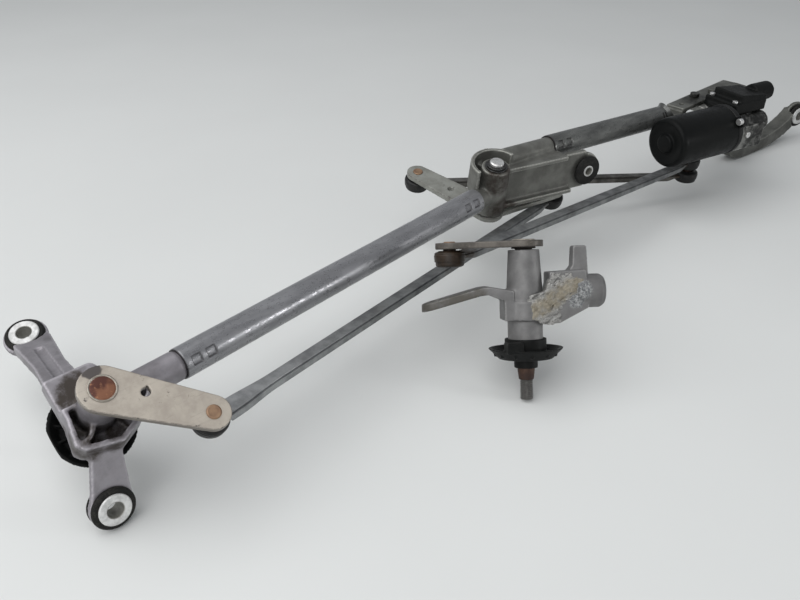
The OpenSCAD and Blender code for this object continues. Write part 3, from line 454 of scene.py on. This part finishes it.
# %% Soften and paint the solids that stay
def paint(node, material):
    """Give every slot of a CAD node that material."""
    holder = nodes[node]
    if not holder.material_slots:
        holder.data.materials.append(material)
    for slot in holder.material_slots:
        slot.material = material


def soften(node, material, voxel_mm, rounds):
    """Weld the solid's loose triangles, remesh it on a grid of voxel_mm, and smooth it that many rounds."""
    holder = nodes[node]
    weld = holder.modifiers.new("weld", "WELD")
    weld.merge_threshold = 1e-5
    remesh = holder.modifiers.new("remesh", "REMESH")
    remesh.mode = "VOXEL"
    remesh.voxel_size = voxel_mm * MM
    remesh.use_smooth_shade = True
    smooth = holder.modifiers.new("smooth", "SMOOTH")
    smooth.factor = 0.5
    smooth.iterations = rounds
    paint(node, material)


SOFT = {
    "left_housing": (cast_violet, 1.0, 5),
    "centre_bracket": (cast_dusty_shaded, 0.9, 5),
    "motor_bracket": (cast_grimy, 1.1, 5),
    "right_housing": (cast_broken, 0.75, 5),
    "gear_housing": (bare_aluminium, 0.9, 5),
    "gear_cover": (moulded_plastic, 1.0, 16),
    "left_lever": (zinc_cream, 0.4, 4),
    "right_lever": (zinc_greasy, 0.55, 4),
    "rocker_lever": (zinc_grey, 0.65, 4),
    "crank_arm": (zinc_grey, 0.6, 4),
    "left_cowl_flange": (moulded_plastic, 0.6, 3),
    "right_cowl_flange": (moulded_plastic, 0.6, 3),
    "rocker_circlip": (dark_spring, 0.25, 2),
    "bracket_screws": (cast_grimy, 0.3, 3),
    "gear_screws": (bright_plate, 0.3, 3),
    "crank_nut": (bright_plate, 0.35, 3),
}
for node, (material, voxel_mm, rounds) in SOFT.items():
    soften(node, material, voxel_mm, rounds)

INSIDE = {
    "left_bushes": bronze_bush, "centre_bushes": bronze_bush, "right_bushes": bronze_bush,
    "motor_magnets": dark_spring, "brush_ring": brush_holder, "armature_shaft": bright_plate,
    "armature_core": dark_spring, "commutator": bronze_bush, "worm_wheel": gear_nylon,
    "output_shaft": bright_plate,
}
for node, material in INSIDE.items():
    paint(node, material)
print("softened", len(SOFT), "and painted", len(INSIDE), "inner nodes")

# %% [markdown]
# ## Turned pieces and their places
#
# Pins, boots, mounts and the motor's can are all turned shapes: a profile carried round an axis. Each part of
# the linkage has its own slanted axis, so every piece is made upright and then carried to its place by a 4x4
# matrix; the mesh, not the object, holds the place. The seats below are the axes that several pieces share.


# %% Seats: where each unit stands
def turn_matrix(turn):
    """Rotation by three angles in degrees: about x first, then y, then z."""
    a, b, c = np.radians(turn)
    about_x = np.array([[1, 0, 0], [0, np.cos(a), -np.sin(a)], [0, np.sin(a), np.cos(a)]])
    about_y = np.array([[np.cos(b), 0, np.sin(b)], [0, 1, 0], [-np.sin(b), 0, np.cos(b)]])
    about_z = np.array([[np.cos(c), -np.sin(c), 0], [np.sin(c), np.cos(c), 0], [0, 0, 1]])
    return about_z @ about_y @ about_x


def seat(place, turn):
    """A 4x4 place in millimetres: turned, then moved."""
    m = np.eye(4)
    m[:3, :3] = turn_matrix(turn)
    m[:3, 3] = place
    return m


def seat_on(place, axis):
    """A seat whose z runs along the axis; the turn about it is free."""
    z = np.array(axis, float) / np.linalg.norm(axis)
    x = np.cross([0.0, 0.0, 1.0] if abs(z[2]) < 0.9 else [0.0, 1.0, 0.0], z)
    x = x / np.linalg.norm(x)
    m = np.eye(4)
    m[:3, :3] = np.column_stack([x, np.cross(z, x), z])
    m[:3, 3] = place
    return m


def seat_along(start, end):
    """A seat at start whose x points to end, with y level."""
    run = np.array(end) - np.array(start)
    climb = np.degrees(np.arctan2(run[2], np.hypot(run[0], run[1])))
    return seat(start, (0.0, -climb, np.degrees(np.arctan2(run[1], run[0]))))


LEFT_TURN, CENTRE_TURN, BROKEN_TURN, FLAT = (35, 0, 0), (12, -6, 0), (0, 30, 50.6), (0, 0, 0)
X_TO_Z = seat((0, 0, 0), (0, 90, 0))
LEFT = seat((-458.6, -9.45, 72.9), LEFT_TURN)
CENTRE = seat((-63.6, 23.45, 77.0), CENTRE_TURN)
BROKEN = seat((-164.71, -98.52, 76.48), BROKEN_TURN)
MOTOR = seat((147.1, -25.55, 79.5), (0, 0, -13.8)) @ X_TO_Z
print("axes: left", LEFT[:3, 2].round(3), "centre", CENTRE[:3, 2].round(3), "broken", BROKEN[:3, 2].round(3))

# %% [markdown]
# ## Surface helpers
#
# Every new piece is one or more grids of points. A turned grid is a single array: a profile of radius and
# height is multiplied by the cosine and sine of a ring of angles. The helpers round a profile's corners, turn
# it, carry a grid to its seat, and make a mesh of it that rides on its body and stands for its solids.


# %% Surface helpers
def smooth_step(t):
    """0 below 0, 1 above 1, and between them a curve that is level at both ends."""
    t = np.clip(t, 0.0, 1.0)
    return t * t * (3 - 2 * t)


def window(x, centre, width, soft):
    """1 within width of the centre and 0 outside it, with a smooth step of that softness."""
    return smooth_step((width / 2 + soft - np.abs(x - centre)) / soft)


def rounded(points, radius, steps=4):
    """A polyline whose inner corners are replaced by quadratic curves that start radius before the corner."""
    p = np.array(points, float)
    before, corner, after = p[:-2], p[1:-1], p[2:]
    back, ahead = before - corner, after - corner
    len_back = np.linalg.norm(back, axis=1, keepdims=True)
    len_ahead = np.linalg.norm(ahead, axis=1, keepdims=True)
    cut = np.minimum(radius, 0.45 * np.minimum(len_back, len_ahead))
    s, e = corner + back / len_back * cut, corner + ahead / len_ahead * cut
    t = np.linspace(0.0, 1.0, steps)[None, :, None]
    curve = (1 - t) ** 2 * s[:, None] + 2 * t * (1 - t) * corner[:, None] + t**2 * e[:, None]
    return np.concatenate([p[:1], curve.reshape(-1, 2), p[-1:]])


AROUND = 72


def lathe(profile, around=AROUND):
    """Each profile point (radius, height) carried round z: (r cos a, r sin a, h), by point and angle."""
    a = np.linspace(0.0, 2 * np.pi, around, endpoint=False)
    r, h = profile[:, :1], profile[:, 1:]
    return np.stack([r * np.cos(a), r * np.sin(a), h + 0 * a], axis=-1)


def carry(grid, place):
    """Grid points in millimetres carried by a seat to metres in the shared frame."""
    return (grid @ place[:3, :3].T + place[:3, 3]) * MM


def faces_of(grid, closed_rows):
    """Quads of a grid whose columns always close; its rows close too if closed_rows is set."""
    rows, cols = grid.shape[:2]
    i = np.arange(rows if closed_rows else rows - 1)[:, None]
    j = np.arange(cols)[None, :]
    i2, j2 = (i + 1) % rows, (j + 1) % cols
    quads = np.stack([i * cols + j, i * cols + j2, i2 * cols + j2, i2 * cols + j], axis=-1)
    quads = quads.reshape(-1, 4)
    p = grid.reshape(-1, 3)
    a, b, c, d = (p[quads[:, k]] - p.mean(axis=0) for k in range(4))
    volume = np.sum(a * np.cross(b, c)) + np.sum(a * np.cross(c, d))
    return quads if volume > 0 else quads[:, ::-1]


def piece(name, grids, material, body, stands_for=(), closed_rows=False, marks=None, sharp=40.0):
    """One mesh from several closed grids in metres: poles are merged, faces point outwards.

    It rides on the body and stands for those solids. Marks are values per point, read by the finish."""
    offsets = np.cumsum([0] + [g.shape[0] * g.shape[1] for g in grids])
    points = np.concatenate([g.reshape(-1, 3) for g in grids])
    quads = np.concatenate([faces_of(g, closed_rows) + o for g, o in zip(grids, offsets)])
    mesh = bpy.data.meshes.new(name)
    mesh.vertices.add(len(points))
    mesh.vertices.foreach_set("co", points.astype(np.float32).ravel())
    mesh.loops.add(quads.size)
    mesh.loops.foreach_set("vertex_index", quads.astype(np.int32).ravel())
    mesh.polygons.add(len(quads))
    mesh.polygons.foreach_set("loop_start", np.arange(0, quads.size, 4, dtype=np.int32))
    mesh.update(calc_edges=True)
    for mark, values in (marks or {}).items():
        held = mesh.attributes.new(mark, "FLOAT", "POINT")
        held.data.foreach_set("value", values.astype(np.float32).ravel())
    pole_gap = 2e-7
    melt = bmesh.new()
    melt.from_mesh(mesh)
    bmesh.ops.remove_doubles(melt, verts=melt.verts, dist=pole_gap)
    melt.to_mesh(mesh)
    melt.free()
    mesh.shade_smooth()
    mesh.set_sharp_from_angle(angle=math.radians(sharp))
    mesh.materials.append(material)
    made = bpy.data.objects.new(name, mesh)
    scene.collection.objects.link(made)
    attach(made, body)
    if stands_for:
        low = np.min([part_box(n)[0] for n in stands_for], axis=0)
        high = np.max([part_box(n)[1] for n in stands_for], axis=0)
        off = max(np.abs(points.min(axis=0) - low).max(), np.abs(points.max(axis=0) - high).max())
        print(f"{name}: {len(mesh.polygons)} faces, box off its solid by {off / MM:.2f} mm")
        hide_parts(*stands_for)


print("surface helpers ready")

# %% [markdown]
# ## Spindles
#
# Each spindle is a turned pin: its top is riveted over the lever, with a rolled bright rim and a rusty middle,
# and its lower end has a cone and a thread for the wiper arm's nut. The thread is worked out directly: the
# radius falls and rises with height plus angle, which winds the ridge round the pin once per pitch.


# %% Spindles
def spindle_grid(around=64, pitch=1.5, ridge=0.16):
    """Rivet head, shank, cone and thread; in the thread the radius is a triangle wave of height and angle.

    The ridge is the thread's depth as a share of the radius. The marks of the finish come with the grid."""
    top = rounded([[0, 33.75], [3.2, 34.0], [6.6, 33.85], [7.3, 33.45], [7.7, 33.95], [8.3, 33.8],
                   [8.6, 33.3], [8.55, 33.02], [7, 33.02], [7, 27.98], [9, 27.98], [9, 26.8], [6.4, 26.8],
                   [6.4, -64], [5.6, -70.6], [4.75, -71.0]], 0.4)
    thread_top, thread_end, rows = -71.1, -84.9, 84
    thread = np.column_stack([np.full(rows, 5.0), np.linspace(thread_top, thread_end, rows)])
    tip = np.array([[4.7, -85.0], [4.0, -86.0], [1.5, -86.0], [0.0, -86.0]])
    profile = np.concatenate([top, thread, tip])
    radius, level = profile[:, :1], profile[:, 1:]
    grid = lathe(profile, around)
    angle = np.arctan2(grid[..., 1], grid[..., 0])
    wave = np.abs(((level / pitch - angle / (2 * np.pi)) % 1.0) * 2 - 1)
    cut = (level < thread_top + 0.05) & (level > thread_end - 0.05)
    grid[..., :2] *= (1.0 - cut * ridge * wave)[..., None]
    rim = (level > 33.0) & (radius > 7.35)
    below_cone = level < -70.9
    marks = {
        "shine": rim * 1.0 + below_cone * 1.0,
        "shade_and_soot": (level < 28.5) * (level > 20.0) * 1.0 + (level < 0.0) * 0.75,
        "oiled": below_cone * 1.0,
    }
    return grid, {key: np.repeat(value, around, axis=1) for key, value in marks.items()}


pin, wear = spindle_grid()
piece("left_spindle_turned", [carry(pin, LEFT)], rusted_spindle, "left_lever_body",
      ("left_spindle",), marks=wear)
piece("right_spindle_turned", [carry(pin, BROKEN)], rusted_spindle, "right_lever_body",
      ("right_spindle",), marks=wear)

# %% [markdown]
# ## Tubes
#
# Two drawn tubes join the castings. They are pressed onto the castings' spigots with square dents near each
# end. A tube is a function of the distance along it and the angle round it; each dent is a smooth window in
# both, subtracted from the radius. The short tube's far end is cut open and flares into a mouth.


# %% Tubes
def tube_grid(length, mouth):
    """Outer radius less the dents, plus the mouth's flare; the grid returns inside. A mouth is cut slanting.

    The second array marks painted shade: each dent's rim, where its window is half open, and the first end's
    edge."""
    outer_r, inner_r, close_rows = 11.0, 9.5, 30.0
    dent_side, dent_soft, dent_depth, dent_bearing = 6.0, 0.7, 1.7, np.radians(245.0)
    cut_depth, cut_reach, cut_bearing = 24.0, 34.0, np.radians(205.0)
    end = length + mouth
    along = np.unique(np.concatenate([
        np.linspace(0, close_rows, 61), np.linspace(close_rows, length - close_rows, 40),
        np.linspace(length - close_rows, length, 61), np.linspace(length, end, 9)]))[:, None]
    angle = np.linspace(0, 2 * np.pi, 96, endpoint=False)[None, :]
    round_by = np.angle(np.exp(1j * (angle - dent_bearing))) * outer_r
    dent = 0.0
    for spot in (9.0, 20.5, length - 9.0, length - 20.5):
        dent = dent + window(along, spot, dent_side, dent_soft) * window(round_by, 0.0, dent_side, dent_soft)
    flare = 3.0 * np.clip((along - length) / max(mouth, 1.0), 0.0, 1.0)
    lip = 0.25 * window(along, 0.0, 1.0, 1.0)
    outer = outer_r - lip - dent_depth * dent + flare + 0 * angle
    inner = (inner_r + flare + 0 * angle)[::-1]
    radius = np.concatenate([outer, inner])
    # Painted shade: dark rims round the dents, the dents a little, and the gap at the first end.
    rim = 0.8 * np.clip(4 * dent * (1 - dent), 0, 1)
    shade_and_soot = rim + window(along, 0.0, 0.8, 0.6) + 0.15 * dent + 0 * angle
    if mouth:
        cut_side = 0.5 + 0.5 * np.cos(angle - cut_bearing)
        along = along - cut_depth * cut_side * np.clip((along - (end - cut_reach)) / cut_reach, 0.0, 1.0)
    station = np.concatenate([along, along[::-1]]) + 0 * angle
    grid = np.stack([radius * np.cos(angle), radius * np.sin(angle), station], axis=-1)
    return grid, np.clip(np.concatenate([shade_and_soot, shade_and_soot[::-1]]), 0, 1)


def add_tube(name, start, end, mouth, node, finish):
    """A drawn tube from start to end, whose grid closes over both rims."""
    length = np.linalg.norm(np.array(end) - np.array(start))
    place = seat_along(start, end) @ X_TO_Z
    grid, shade_and_soot = tube_grid(length, mouth)
    piece(name, [carry(grid, place)], finish, "frame", (node,), closed_rows=True,
          marks={"shade_and_soot": shade_and_soot}, sharp=50)


add_tube("long_tube_drawn", (-401.6, -6.45, 74.5), (-88.6, 21.55, 76.5), 0.0, "long_tube", drawn_tube)
add_tube("short_tube_drawn", (12.4, 22.55, 99.0), (202.4, 5.15, 88.7), 8.0, "short_tube", shaded_tube)

# %% [markdown]
# ## Rods
#
# A wiper rod is pressed from sheet into a shallow channel, open below, with a crease under each top edge that
# shows as a dark line. Towards each end it flattens and runs into a round eye for the ball socket. The profile
# is carried along the rod while its depth follows a smooth step, and each eye is a turned ring. The left rod
# starts with a broad tongue instead.


# %% Rods
def rod_grid(length, spread):
    """A channel along x with a level top; from each eye its depth grows by a smooth step.

    A start with a spread is a tongue: wider by the spread, deep up to the socket, with a sunk lens on top.
    A row of the profile holds its share of the half width, of the depth, and 1 if it is inside the channel."""
    top, half_width, eye_depth, more_depth = 1.3, 5.0, 3.3, 3.2
    eye_edge, close_rows, flat_end, ramp_run = 8.5, 34.0, 13.0, 14.0
    tongue_end, tongue_run, lens_at, lens_width, lens_depth = 52.0, 34.0, 24.0, 11.0, 0.5
    side = np.array([[0.0, 0.0, 0], [0.22, 0.0, 0], [0.44, 0.0, 0], [0.62, 0.0, 0], [0.84, 0.02, 0],
                     [0.90, 0.08, 0], [0.74, 0.15, 0], [0.74, 0.24, 0], [1.0, 0.31, 0], [1.0, 0.95, 0],
                     [0.95, 1.0, 0], [0.72, 1.0, 0], [0.58, 0.97, 1], [0.54, 0.35, 1], [0.0, 0.33, 1]])
    other_side = side[-2:0:-1] * [-1, 1, 1]
    wide, deep, inside = np.concatenate([side, other_side]).T[:, None]
    x = np.unique(np.concatenate([
        np.linspace(eye_edge, close_rows, 32), np.linspace(close_rows, length - close_rows, 60),
        np.linspace(length - close_rows, length - eye_edge, 32)]))[:, None]
    near_end = np.minimum(x, length - x)
    ramp = (near_end - flat_end) / ramp_run
    if spread:
        ramp = np.where(x < length / 2, (x - eye_edge) / 3.0, ramp)
    grown = smooth_step(ramp)
    narrow = 1.0 - 0.12 * np.clip((near_end - eye_edge) / 8.0, 0, 1) * (1 - grown)
    y = (half_width * narrow + spread * smooth_step((tongue_end - x) / tongue_run)) * wide
    fall = np.where(inside > 0, 1.0 + (deep - 1.0) * grown, deep)
    z = top - (eye_depth + more_depth * grown) * fall
    if spread:
        lens = window(x, lens_at, lens_width, 4.0) * np.clip(1.3 - np.abs(wide) / 0.6, 0, 1)
        z = z - lens_depth * lens * (deep < 0.05)
    grid = np.stack([x + 0 * y, y, z], axis=-1)
    first, last = (np.repeat(row.mean(axis=1, keepdims=True), grid.shape[1], axis=1)
                   for row in (grid[:1], grid[-1:]))
    return np.concatenate([first, grid, last])


EYE = rounded([[9.05, -2.0], [11.2, -2.0], [11.4, -1.6], [11.4, 0.9], [11.1, 1.3], [9.05, 1.3],
               [9.05, -2.0]], 0.3)


def add_rod(rod, start, end, spread, grease, finish):
    """The channel between two joints, each a ball's centre and turn, and a ring-shaped eye at each.

    Grease fades along the bar from each eye, and a tongue is rubbed pale."""
    smear_reach, rub_reach = 30.0, 110.0
    length = np.linalg.norm(np.array(end[0]) - np.array(start[0]))
    bar = rod_grid(length, spread)
    eye = lathe(EYE)
    eyes = [carry(eye, seat(*joint)) for joint in (start, end)]
    x, eye_size = bar[..., 0].ravel(), eye[..., 0].size
    smear = grease[0] * np.exp(-((x / smear_reach) ** 2))
    smear = smear + grease[1] * np.exp(-(((length - x) / smear_reach) ** 2))
    rubbed = 0.3 * spread * np.exp(-((x / rub_reach) ** 2))
    marks = {
        "grease": np.concatenate([smear, np.repeat(grease, eye_size)]),
        "rubbed": np.concatenate([rubbed, np.zeros(2 * eye_size)]),
    }
    piece(rod + "_pressed", [carry(bar, seat_along(start[0], end[0]))] + eyes, finish, rod + "_body",
          (rod,), marks=marks, sharp=35)


LEFT_BALL, OUT_BALL = (-410.07, -56.30, 65.73), (12.52, 12.52, 48.95)
DRIVE_BALL, DRIVE_CRANK = (-74.43, 109.39, 61.33), (211.78, -22.88, 24.4)
BROKEN_BALL, RIGHT_CRANK = (-184.35, -40.31, 81.95), (211.78, -22.88, 39.8)
RODS = {
    "left_rod": ((LEFT_BALL, LEFT_TURN), (OUT_BALL, CENTRE_TURN), 2.6, (0.0, 0.6), galvanised_rod),
    "drive_rod": ((DRIVE_BALL, CENTRE_TURN), (DRIVE_CRANK, FLAT), 0.0, (0.5, 0.8), grimy_rod),
    "right_rod": ((BROKEN_BALL, BROKEN_TURN), (RIGHT_CRANK, FLAT), 0.0, (1.0, 0.8), galvanised_rod),
}
for rod, (start, end, spread, grease, finish) in RODS.items():
    add_rod(rod, start, end, spread, grease, finish)

# %% [markdown]
# ## Ball joints
#
# Each rod end holds a plastic cup that snaps over a steel ball, with a rubber boot over the gap. The stud's
# shank passes through the lever and is riveted over on top. All three are profiles turned about the ball's
# axis, and the two ends of a rod share one mesh.


# %% Ball joints
def arc_of(radius, start, end, count):
    """Points of a profile on an arc about the ball's centre, from one angle in degrees to another."""
    angle = np.radians(np.linspace(start, end, count))
    return radius * np.column_stack([np.cos(angle), np.sin(angle)])


BALL_POINTS, NECK_POINTS, HEAD_LEVEL = 24, 4, 12.0
CUP = np.concatenate([
    rounded([[0, -6.8], [8.6, -6.8], [10.9, -5.6], [11.2, -2.05], [9.0, -2.05], [9.0, 3.4], [4.4, 3.4]], 0.8),
    arc_of(5.5, 38.0, -90.0, 12),
])
CUP[-1, 0] = 0.0
BOOT = rounded([[11.45, -2.6], [11.9, -2.6], [12.1, 1.0], [12.2, 2.4], [11.7, 3.0], [12.0, 3.7], [11.0, 4.8],
                [8.8, 5.5], [8.4, 6.0], [7.1, 6.0], [7.1, 4.9], [9.1, 3.9], [9.1, 1.7], [11.45, 1.5],
                [11.45, -2.6]], 0.5)
STUD = np.concatenate([
    arc_of(5.4, -90.0, 51.0, BALL_POINTS),
    [[3.4, 4.9], [3.4, 5.5], [5.0, 5.5], [5.0, 6.98], [4.2, 6.98], [4.2, 12.02]],
    rounded([[4.7, 12.02], [4.6, 12.5], [3.9, 12.95], [2.9, 12.75], [0.0, 12.85]], 0.3),
])
STUD[0, 0] = 0.0
BARE_STUD = np.concatenate([STUD[:BALL_POINTS + NECK_POINTS], [[0.0, 6.98]]])
for rod, (start, end, *_) in RODS.items():
    brown = (1.0, 0.0) if rod == "right_rod" else (0.0, 0.0)
    for part, profile, finish, slot, node in (("_cups", CUP, cup_plastic, "black_plastic", "_sockets"),
                                              ("_rubber_boots", BOOT, boot_rubber, "rubber", "_boots")):
        grids = [carry(lathe(profile), seat(*joint)) for joint in (start, end)]
        smears = np.repeat(brown, grids[0][..., 0].size)
        piece(rod + part, grids, finish, rod + "_body", (rod + node,), marks={"grease": smears})


def add_stud(name, profile, ball, turn, body, node, around=48):
    """A ball with a neck and a collar; a riveted stud also has a shank and a head, whose rust is rubbed pale."""
    head = np.repeat(profile[:, 1:] > HEAD_LEVEL, around, axis=1)
    piece(name, [carry(lathe(profile, around), seat(ball, turn))], rusted_spindle, body,
          (node,), marks={"rubbed": np.where(head, 0.8, 0.0), "shade_and_soot": np.where(head, 0.0, 0.9)})


OUT_STUD = (12.44, 12.36, 49.73)
add_stud("left_stud_riveted", STUD, LEFT_BALL, LEFT_TURN, "left_lever_body", "left_ball_stud")
add_stud("drive_stud_riveted", STUD, DRIVE_BALL, CENTRE_TURN, "rocker", "rocker_drive_stud")
add_stud("right_stud_riveted", STUD, BROKEN_BALL, BROKEN_TURN, "right_lever_body", "right_ball_stud")
add_stud("out_stud_plain", BARE_STUD, OUT_STUD, CENTRE_TURN, "rocker", "rocker_out_stud")
add_stud("drive_crank_stud_plain", BARE_STUD, DRIVE_CRANK, FLAT, "drive_rod_body", "drive_rod_crank_stud")
add_stud("right_crank_stud_plain", BARE_STUD, RIGHT_CRANK, FLAT, "right_rod_body", "right_rod_crank_stud")

# %% [markdown]
# ## Rubber mounts
#
# The linkage is bolted to the car through four rubber grommets, each a spool with a steel insert. Three have
# a bright flange on top, the middle one a plain sleeve. Both are turned profiles with soft corners.


# %% Rubber mounts
def spool(core):
    """A rubber spool round a core of that radius: lip, waist in the eye, lip."""
    lip, waist = 14.25, 11
    return rounded([[core, -3], [13.0, -3], [lip, -1.8], [lip, 0], [waist, 0], [waist, 5], [lip, 5],
                    [lip, 6.6], [12.8, 8], [core, 8], [core, -3]], 0.8)


FLANGED = rounded([[5.2, -3], [7.68, -3], [7.68, 8.02], [10.6, 8.02], [10.7, 8.8], [10.0, 9.6], [6.0, 9.6],
                   [5.3, 9.1], [5.2, 8.0], [5.2, -3]], 0.35)
SLEEVE = rounded([[3.5, -3.5], [5.28, -3.5], [5.28, 8.5], [3.5, 8.5], [3.5, -3.5]], 0.3)
MOUNTS = {
    "left_upper": (seat_on((-451.9, 131.35, 46.0), (-0.166921, -0.275637, 0.946658)), 7.7, FLANGED),
    "left_lower": (seat_on((-472.1, -27.95, 14.6), (0, -0.981627, 0.190809)), 7.7, FLANGED),
    "centre": (seat_on((36.4, -4.45, 79.0), (-0.2554, -0.9668, 0)), 5.3, SLEEVE),
    "far": (seat_on((470.4, -24.45, 30.0), (-0.342, -0.940, 0)), 7.7, FLANGED),
}
for name, (place, core, insert) in MOUNTS.items():
    piece(name + "_grommet", [carry(lathe(spool(core)), place)], matt_rubber, "frame",
          (name + "_rubber",))
    bore = insert[:1, 0]
    # Painted shade in the bore: the insert's inner wall is darkened towards the hole.
    inside = np.repeat(np.clip((bore + 0.9 - insert[:, :1]) / 0.8, 0.0, 0.85), AROUND, axis=1)
    piece(name + "_steel_insert", [carry(lathe(insert), place)], insert_plate, "frame",
          (name + "_insert",), marks={"shade_and_soot": inside})

# %% [markdown]
# ## Rocker shaft and washer
#
# The rocker turns on a shaft through the middle post. Above the post a washer and a dark spring clip hold it,
# and the shaft's domed end shines where it has been turned.

# %% Rocker shaft and washer
SHAFT = rounded([[0, -26.4], [7.6, -26.3], [8.6, -25.6], [8.6, -25.02], [7, -25.02], [7, -19.98],
                 [9, -19.98], [9, -19], [6.4, -19], [6.4, 29.5], [5.4, 29.5], [5.4, 30.8], [6.4, 30.8],
                 [6.4, 33.0], [5.2, 33.9], [2.6, 34.2], [0, 34.25]], 0.4)
WASHER = rounded([[6.55, 28.02], [10, 28.02], [10, 29.4], [6.55, 29.4], [6.55, 28.02]], 0.25)
piece("rocker_shaft_turned", [carry(lathe(SHAFT), CENTRE)], bright_plate, "rocker",
      ("rocker_shaft",))
piece("rocker_washer_turned", [carry(lathe(WASHER), CENTRE)], dark_spring, "frame",
      ("rocker_washer",))

# %% [markdown]
# ## Motor can
#
# The can is deep-drawn from sheet: a round wall, a dished end with a raised bearing cup, and a soft shoulder
# between them. Its profile runs up the outside, round the open edge and back down the inside.

# %% Motor can
CAN = rounded([[0, -2.5], [7.6, -2.5], [8.8, -2.0], [9.4, -0.6], [9.8, 1.3], [11.5, 1.9], [15, 1.5],
               [19, 0.5], [21.5, 0.1], [23.9, 1.2], [25.2, 3.4], [25.5, 6], [25.5, 78], [24.1, 78], [24.1, 6],
               [21, 2.4], [4.2, 2.4], [4.2, -1.0], [0, -1.0]], 0.9)
CAN_AROUND = 128
piece("motor_can_drawn", [carry(lathe(CAN, CAN_AROUND), MOTOR)], can_paint, "frame",
      ("motor_can",))

# %% [markdown]
# ## The break
#
# The casting snapped beside the second spindle and left a rough, crystalline face: pale facets round a
# smoother golden band where the crack started. A displacement texture could roughen a plane, but real grains
# are flat facets with sharp edges. So every point of a polar grid takes the tilt of the nearest of a few
# hundred seeded grains, and the grid returns behind the face, inside the casting, to close the lump.


# %% The break
def break_grid(spokes=200, rings=64, grains=300):
    """Polar grid over the break's outline: the face stands forward of the casting, tilted grain by grain.

    Grains are drawn out along the golden band, which is smoother; the second array says how golden a point
    is."""
    seed, band_y, band_z = 11, 0.85, 0.53
    outline = np.array([[3.0, -8.6], [-1.6, -24.3], [-12.6, -30.0], [-24.6, -28.0], [-26.3, -16.3],
                        [-37.7, -6.4], [-43.0, 2.2], [-33.5, 7.6], [-19.0, 8.3], [-15.8, 2.5], [-12.6, -5.0]])
    following = np.roll(outline, -1, axis=0)
    middle = np.array([-20.0, -8.0])
    step = np.linspace(0.0, 1.0, 24, endpoint=False)[None, :, None]
    walk = (outline[:, None] * (1 - step) + following[:, None] * step).reshape(-1, 2) - middle
    bearing = np.arctan2(walk[:, 1], walk[:, 0])
    order = np.argsort(bearing)
    angle = np.linspace(-np.pi, np.pi, spokes, endpoint=False)
    reach = np.interp(angle, bearing[order], np.hypot(walk[:, 0], walk[:, 1])[order], period=2 * np.pi)
    ragged = 0.02 * np.sin(7 * angle) + 0.02 * np.sin(17 * angle + 1.0) + 0.012 * np.sin(41 * angle)
    reach = reach * (1.0 + ragged)
    out = np.linspace(0.0, 1.0, rings)[:, None]
    y, z = middle[0] + out * reach * np.cos(angle), middle[1] + out * reach * np.sin(angle)
    rng = np.random.default_rng(seed)
    spot = rng.uniform([-48.0, -33.0], [6.0, 15.0], (grains, 2))
    tilt, rise = rng.normal(0.0, 0.30, (grains, 2)), rng.normal(0.0, 0.22, grains)
    off_y, off_z = y[..., None] - spot[:, 0], z[..., None] - spot[:, 1]
    lengthwise = 0.5 * (off_y * band_y - off_z * band_z)
    across = 1.25 * (off_y * band_z + off_z * band_y)
    near = (lengthwise**2 + across**2).argmin(axis=-1)
    relief = rise[near] + tilt[near, 0] * (y - spot[near, 0]) + tilt[near, 1] * (z - spot[near, 1])
    golden = np.exp(-(((z + 10.0 + 0.62 * (y + 20.0)) / 10.0) ** 2))
    stand = 9.9 + 4.6 * np.clip((y + 24.0) / 18.0, 0.0, 1.0)
    front = -(stand + (1 - out**4) + relief * (1.0 - 0.75 * golden))
    back = np.full_like(y, -5.0)
    face = np.stack([front, y, z], axis=-1)
    behind = np.stack([back, y, z], axis=-1)[::-1]
    return np.concatenate([face, behind]), np.concatenate([golden, golden[::-1]])


def break_finish():
    """Pale grey crystals with glints, and a dull golden band where the mesh is marked."""
    f = Finish("broken_grain", metallic=0.2)
    speck = f.noise(1.0, 5.0, 0.75)
    pale = f.mix(f.band(speck, 0.36, 0.68), (0.185, 0.182, 0.174), (0.36, 0.355, 0.338))
    warm = f.mix(f.band(f.noise(3.0, 5.0, 0.7), 0.36, 0.66), (0.185, 0.163, 0.122), (0.285, 0.256, 0.198))
    share = f.band(f.calc(f.mark("golden"), f.noise(4.0, 4.0, 0.6), "MULTIPLY"), 0.15, 0.5)
    f.bump(speck, 0.2, 0.6)
    return f.done(f.mix(share, pale, warm), f.band(speck, 0.3, 0.7, 0.6, 0.34))


face, golden = break_grid()
piece("broken_face", [carry(face, BROKEN)], break_finish(), "right_unit",
      marks={"golden": golden}, sharp=12)
print("broken face:", face.shape[0] * face.shape[1], "points")

# %% [markdown]
# ## Table
#
# A wide matt table lies under the object; it belongs to the stage and not to the part.

# %% Table and its paint
floor_mesh = bpy.data.meshes.new("table")
span = 30.0
corners = [(-span, -span, 0), (span, -span, 0), (span, span, 0), (-span, span, 0)]
floor_mesh.from_pydata(corners, [], [(0, 1, 2, 3)])
floor = bpy.data.objects.new("table", floor_mesh)
scene.collection.objects.link(floor)
table_paint = Finish("table_paint")
table_paint.shader.inputs["Specular IOR Level"].default_value = 0.0
tone = table_paint.noise(240.0, 4.0, 0.5)
table_paint.done(table_paint.mix(tone, (0.645, 0.655, 0.645), (0.695, 0.705, 0.695)), 0.55)
floor_mesh.materials.append(table_paint.material)
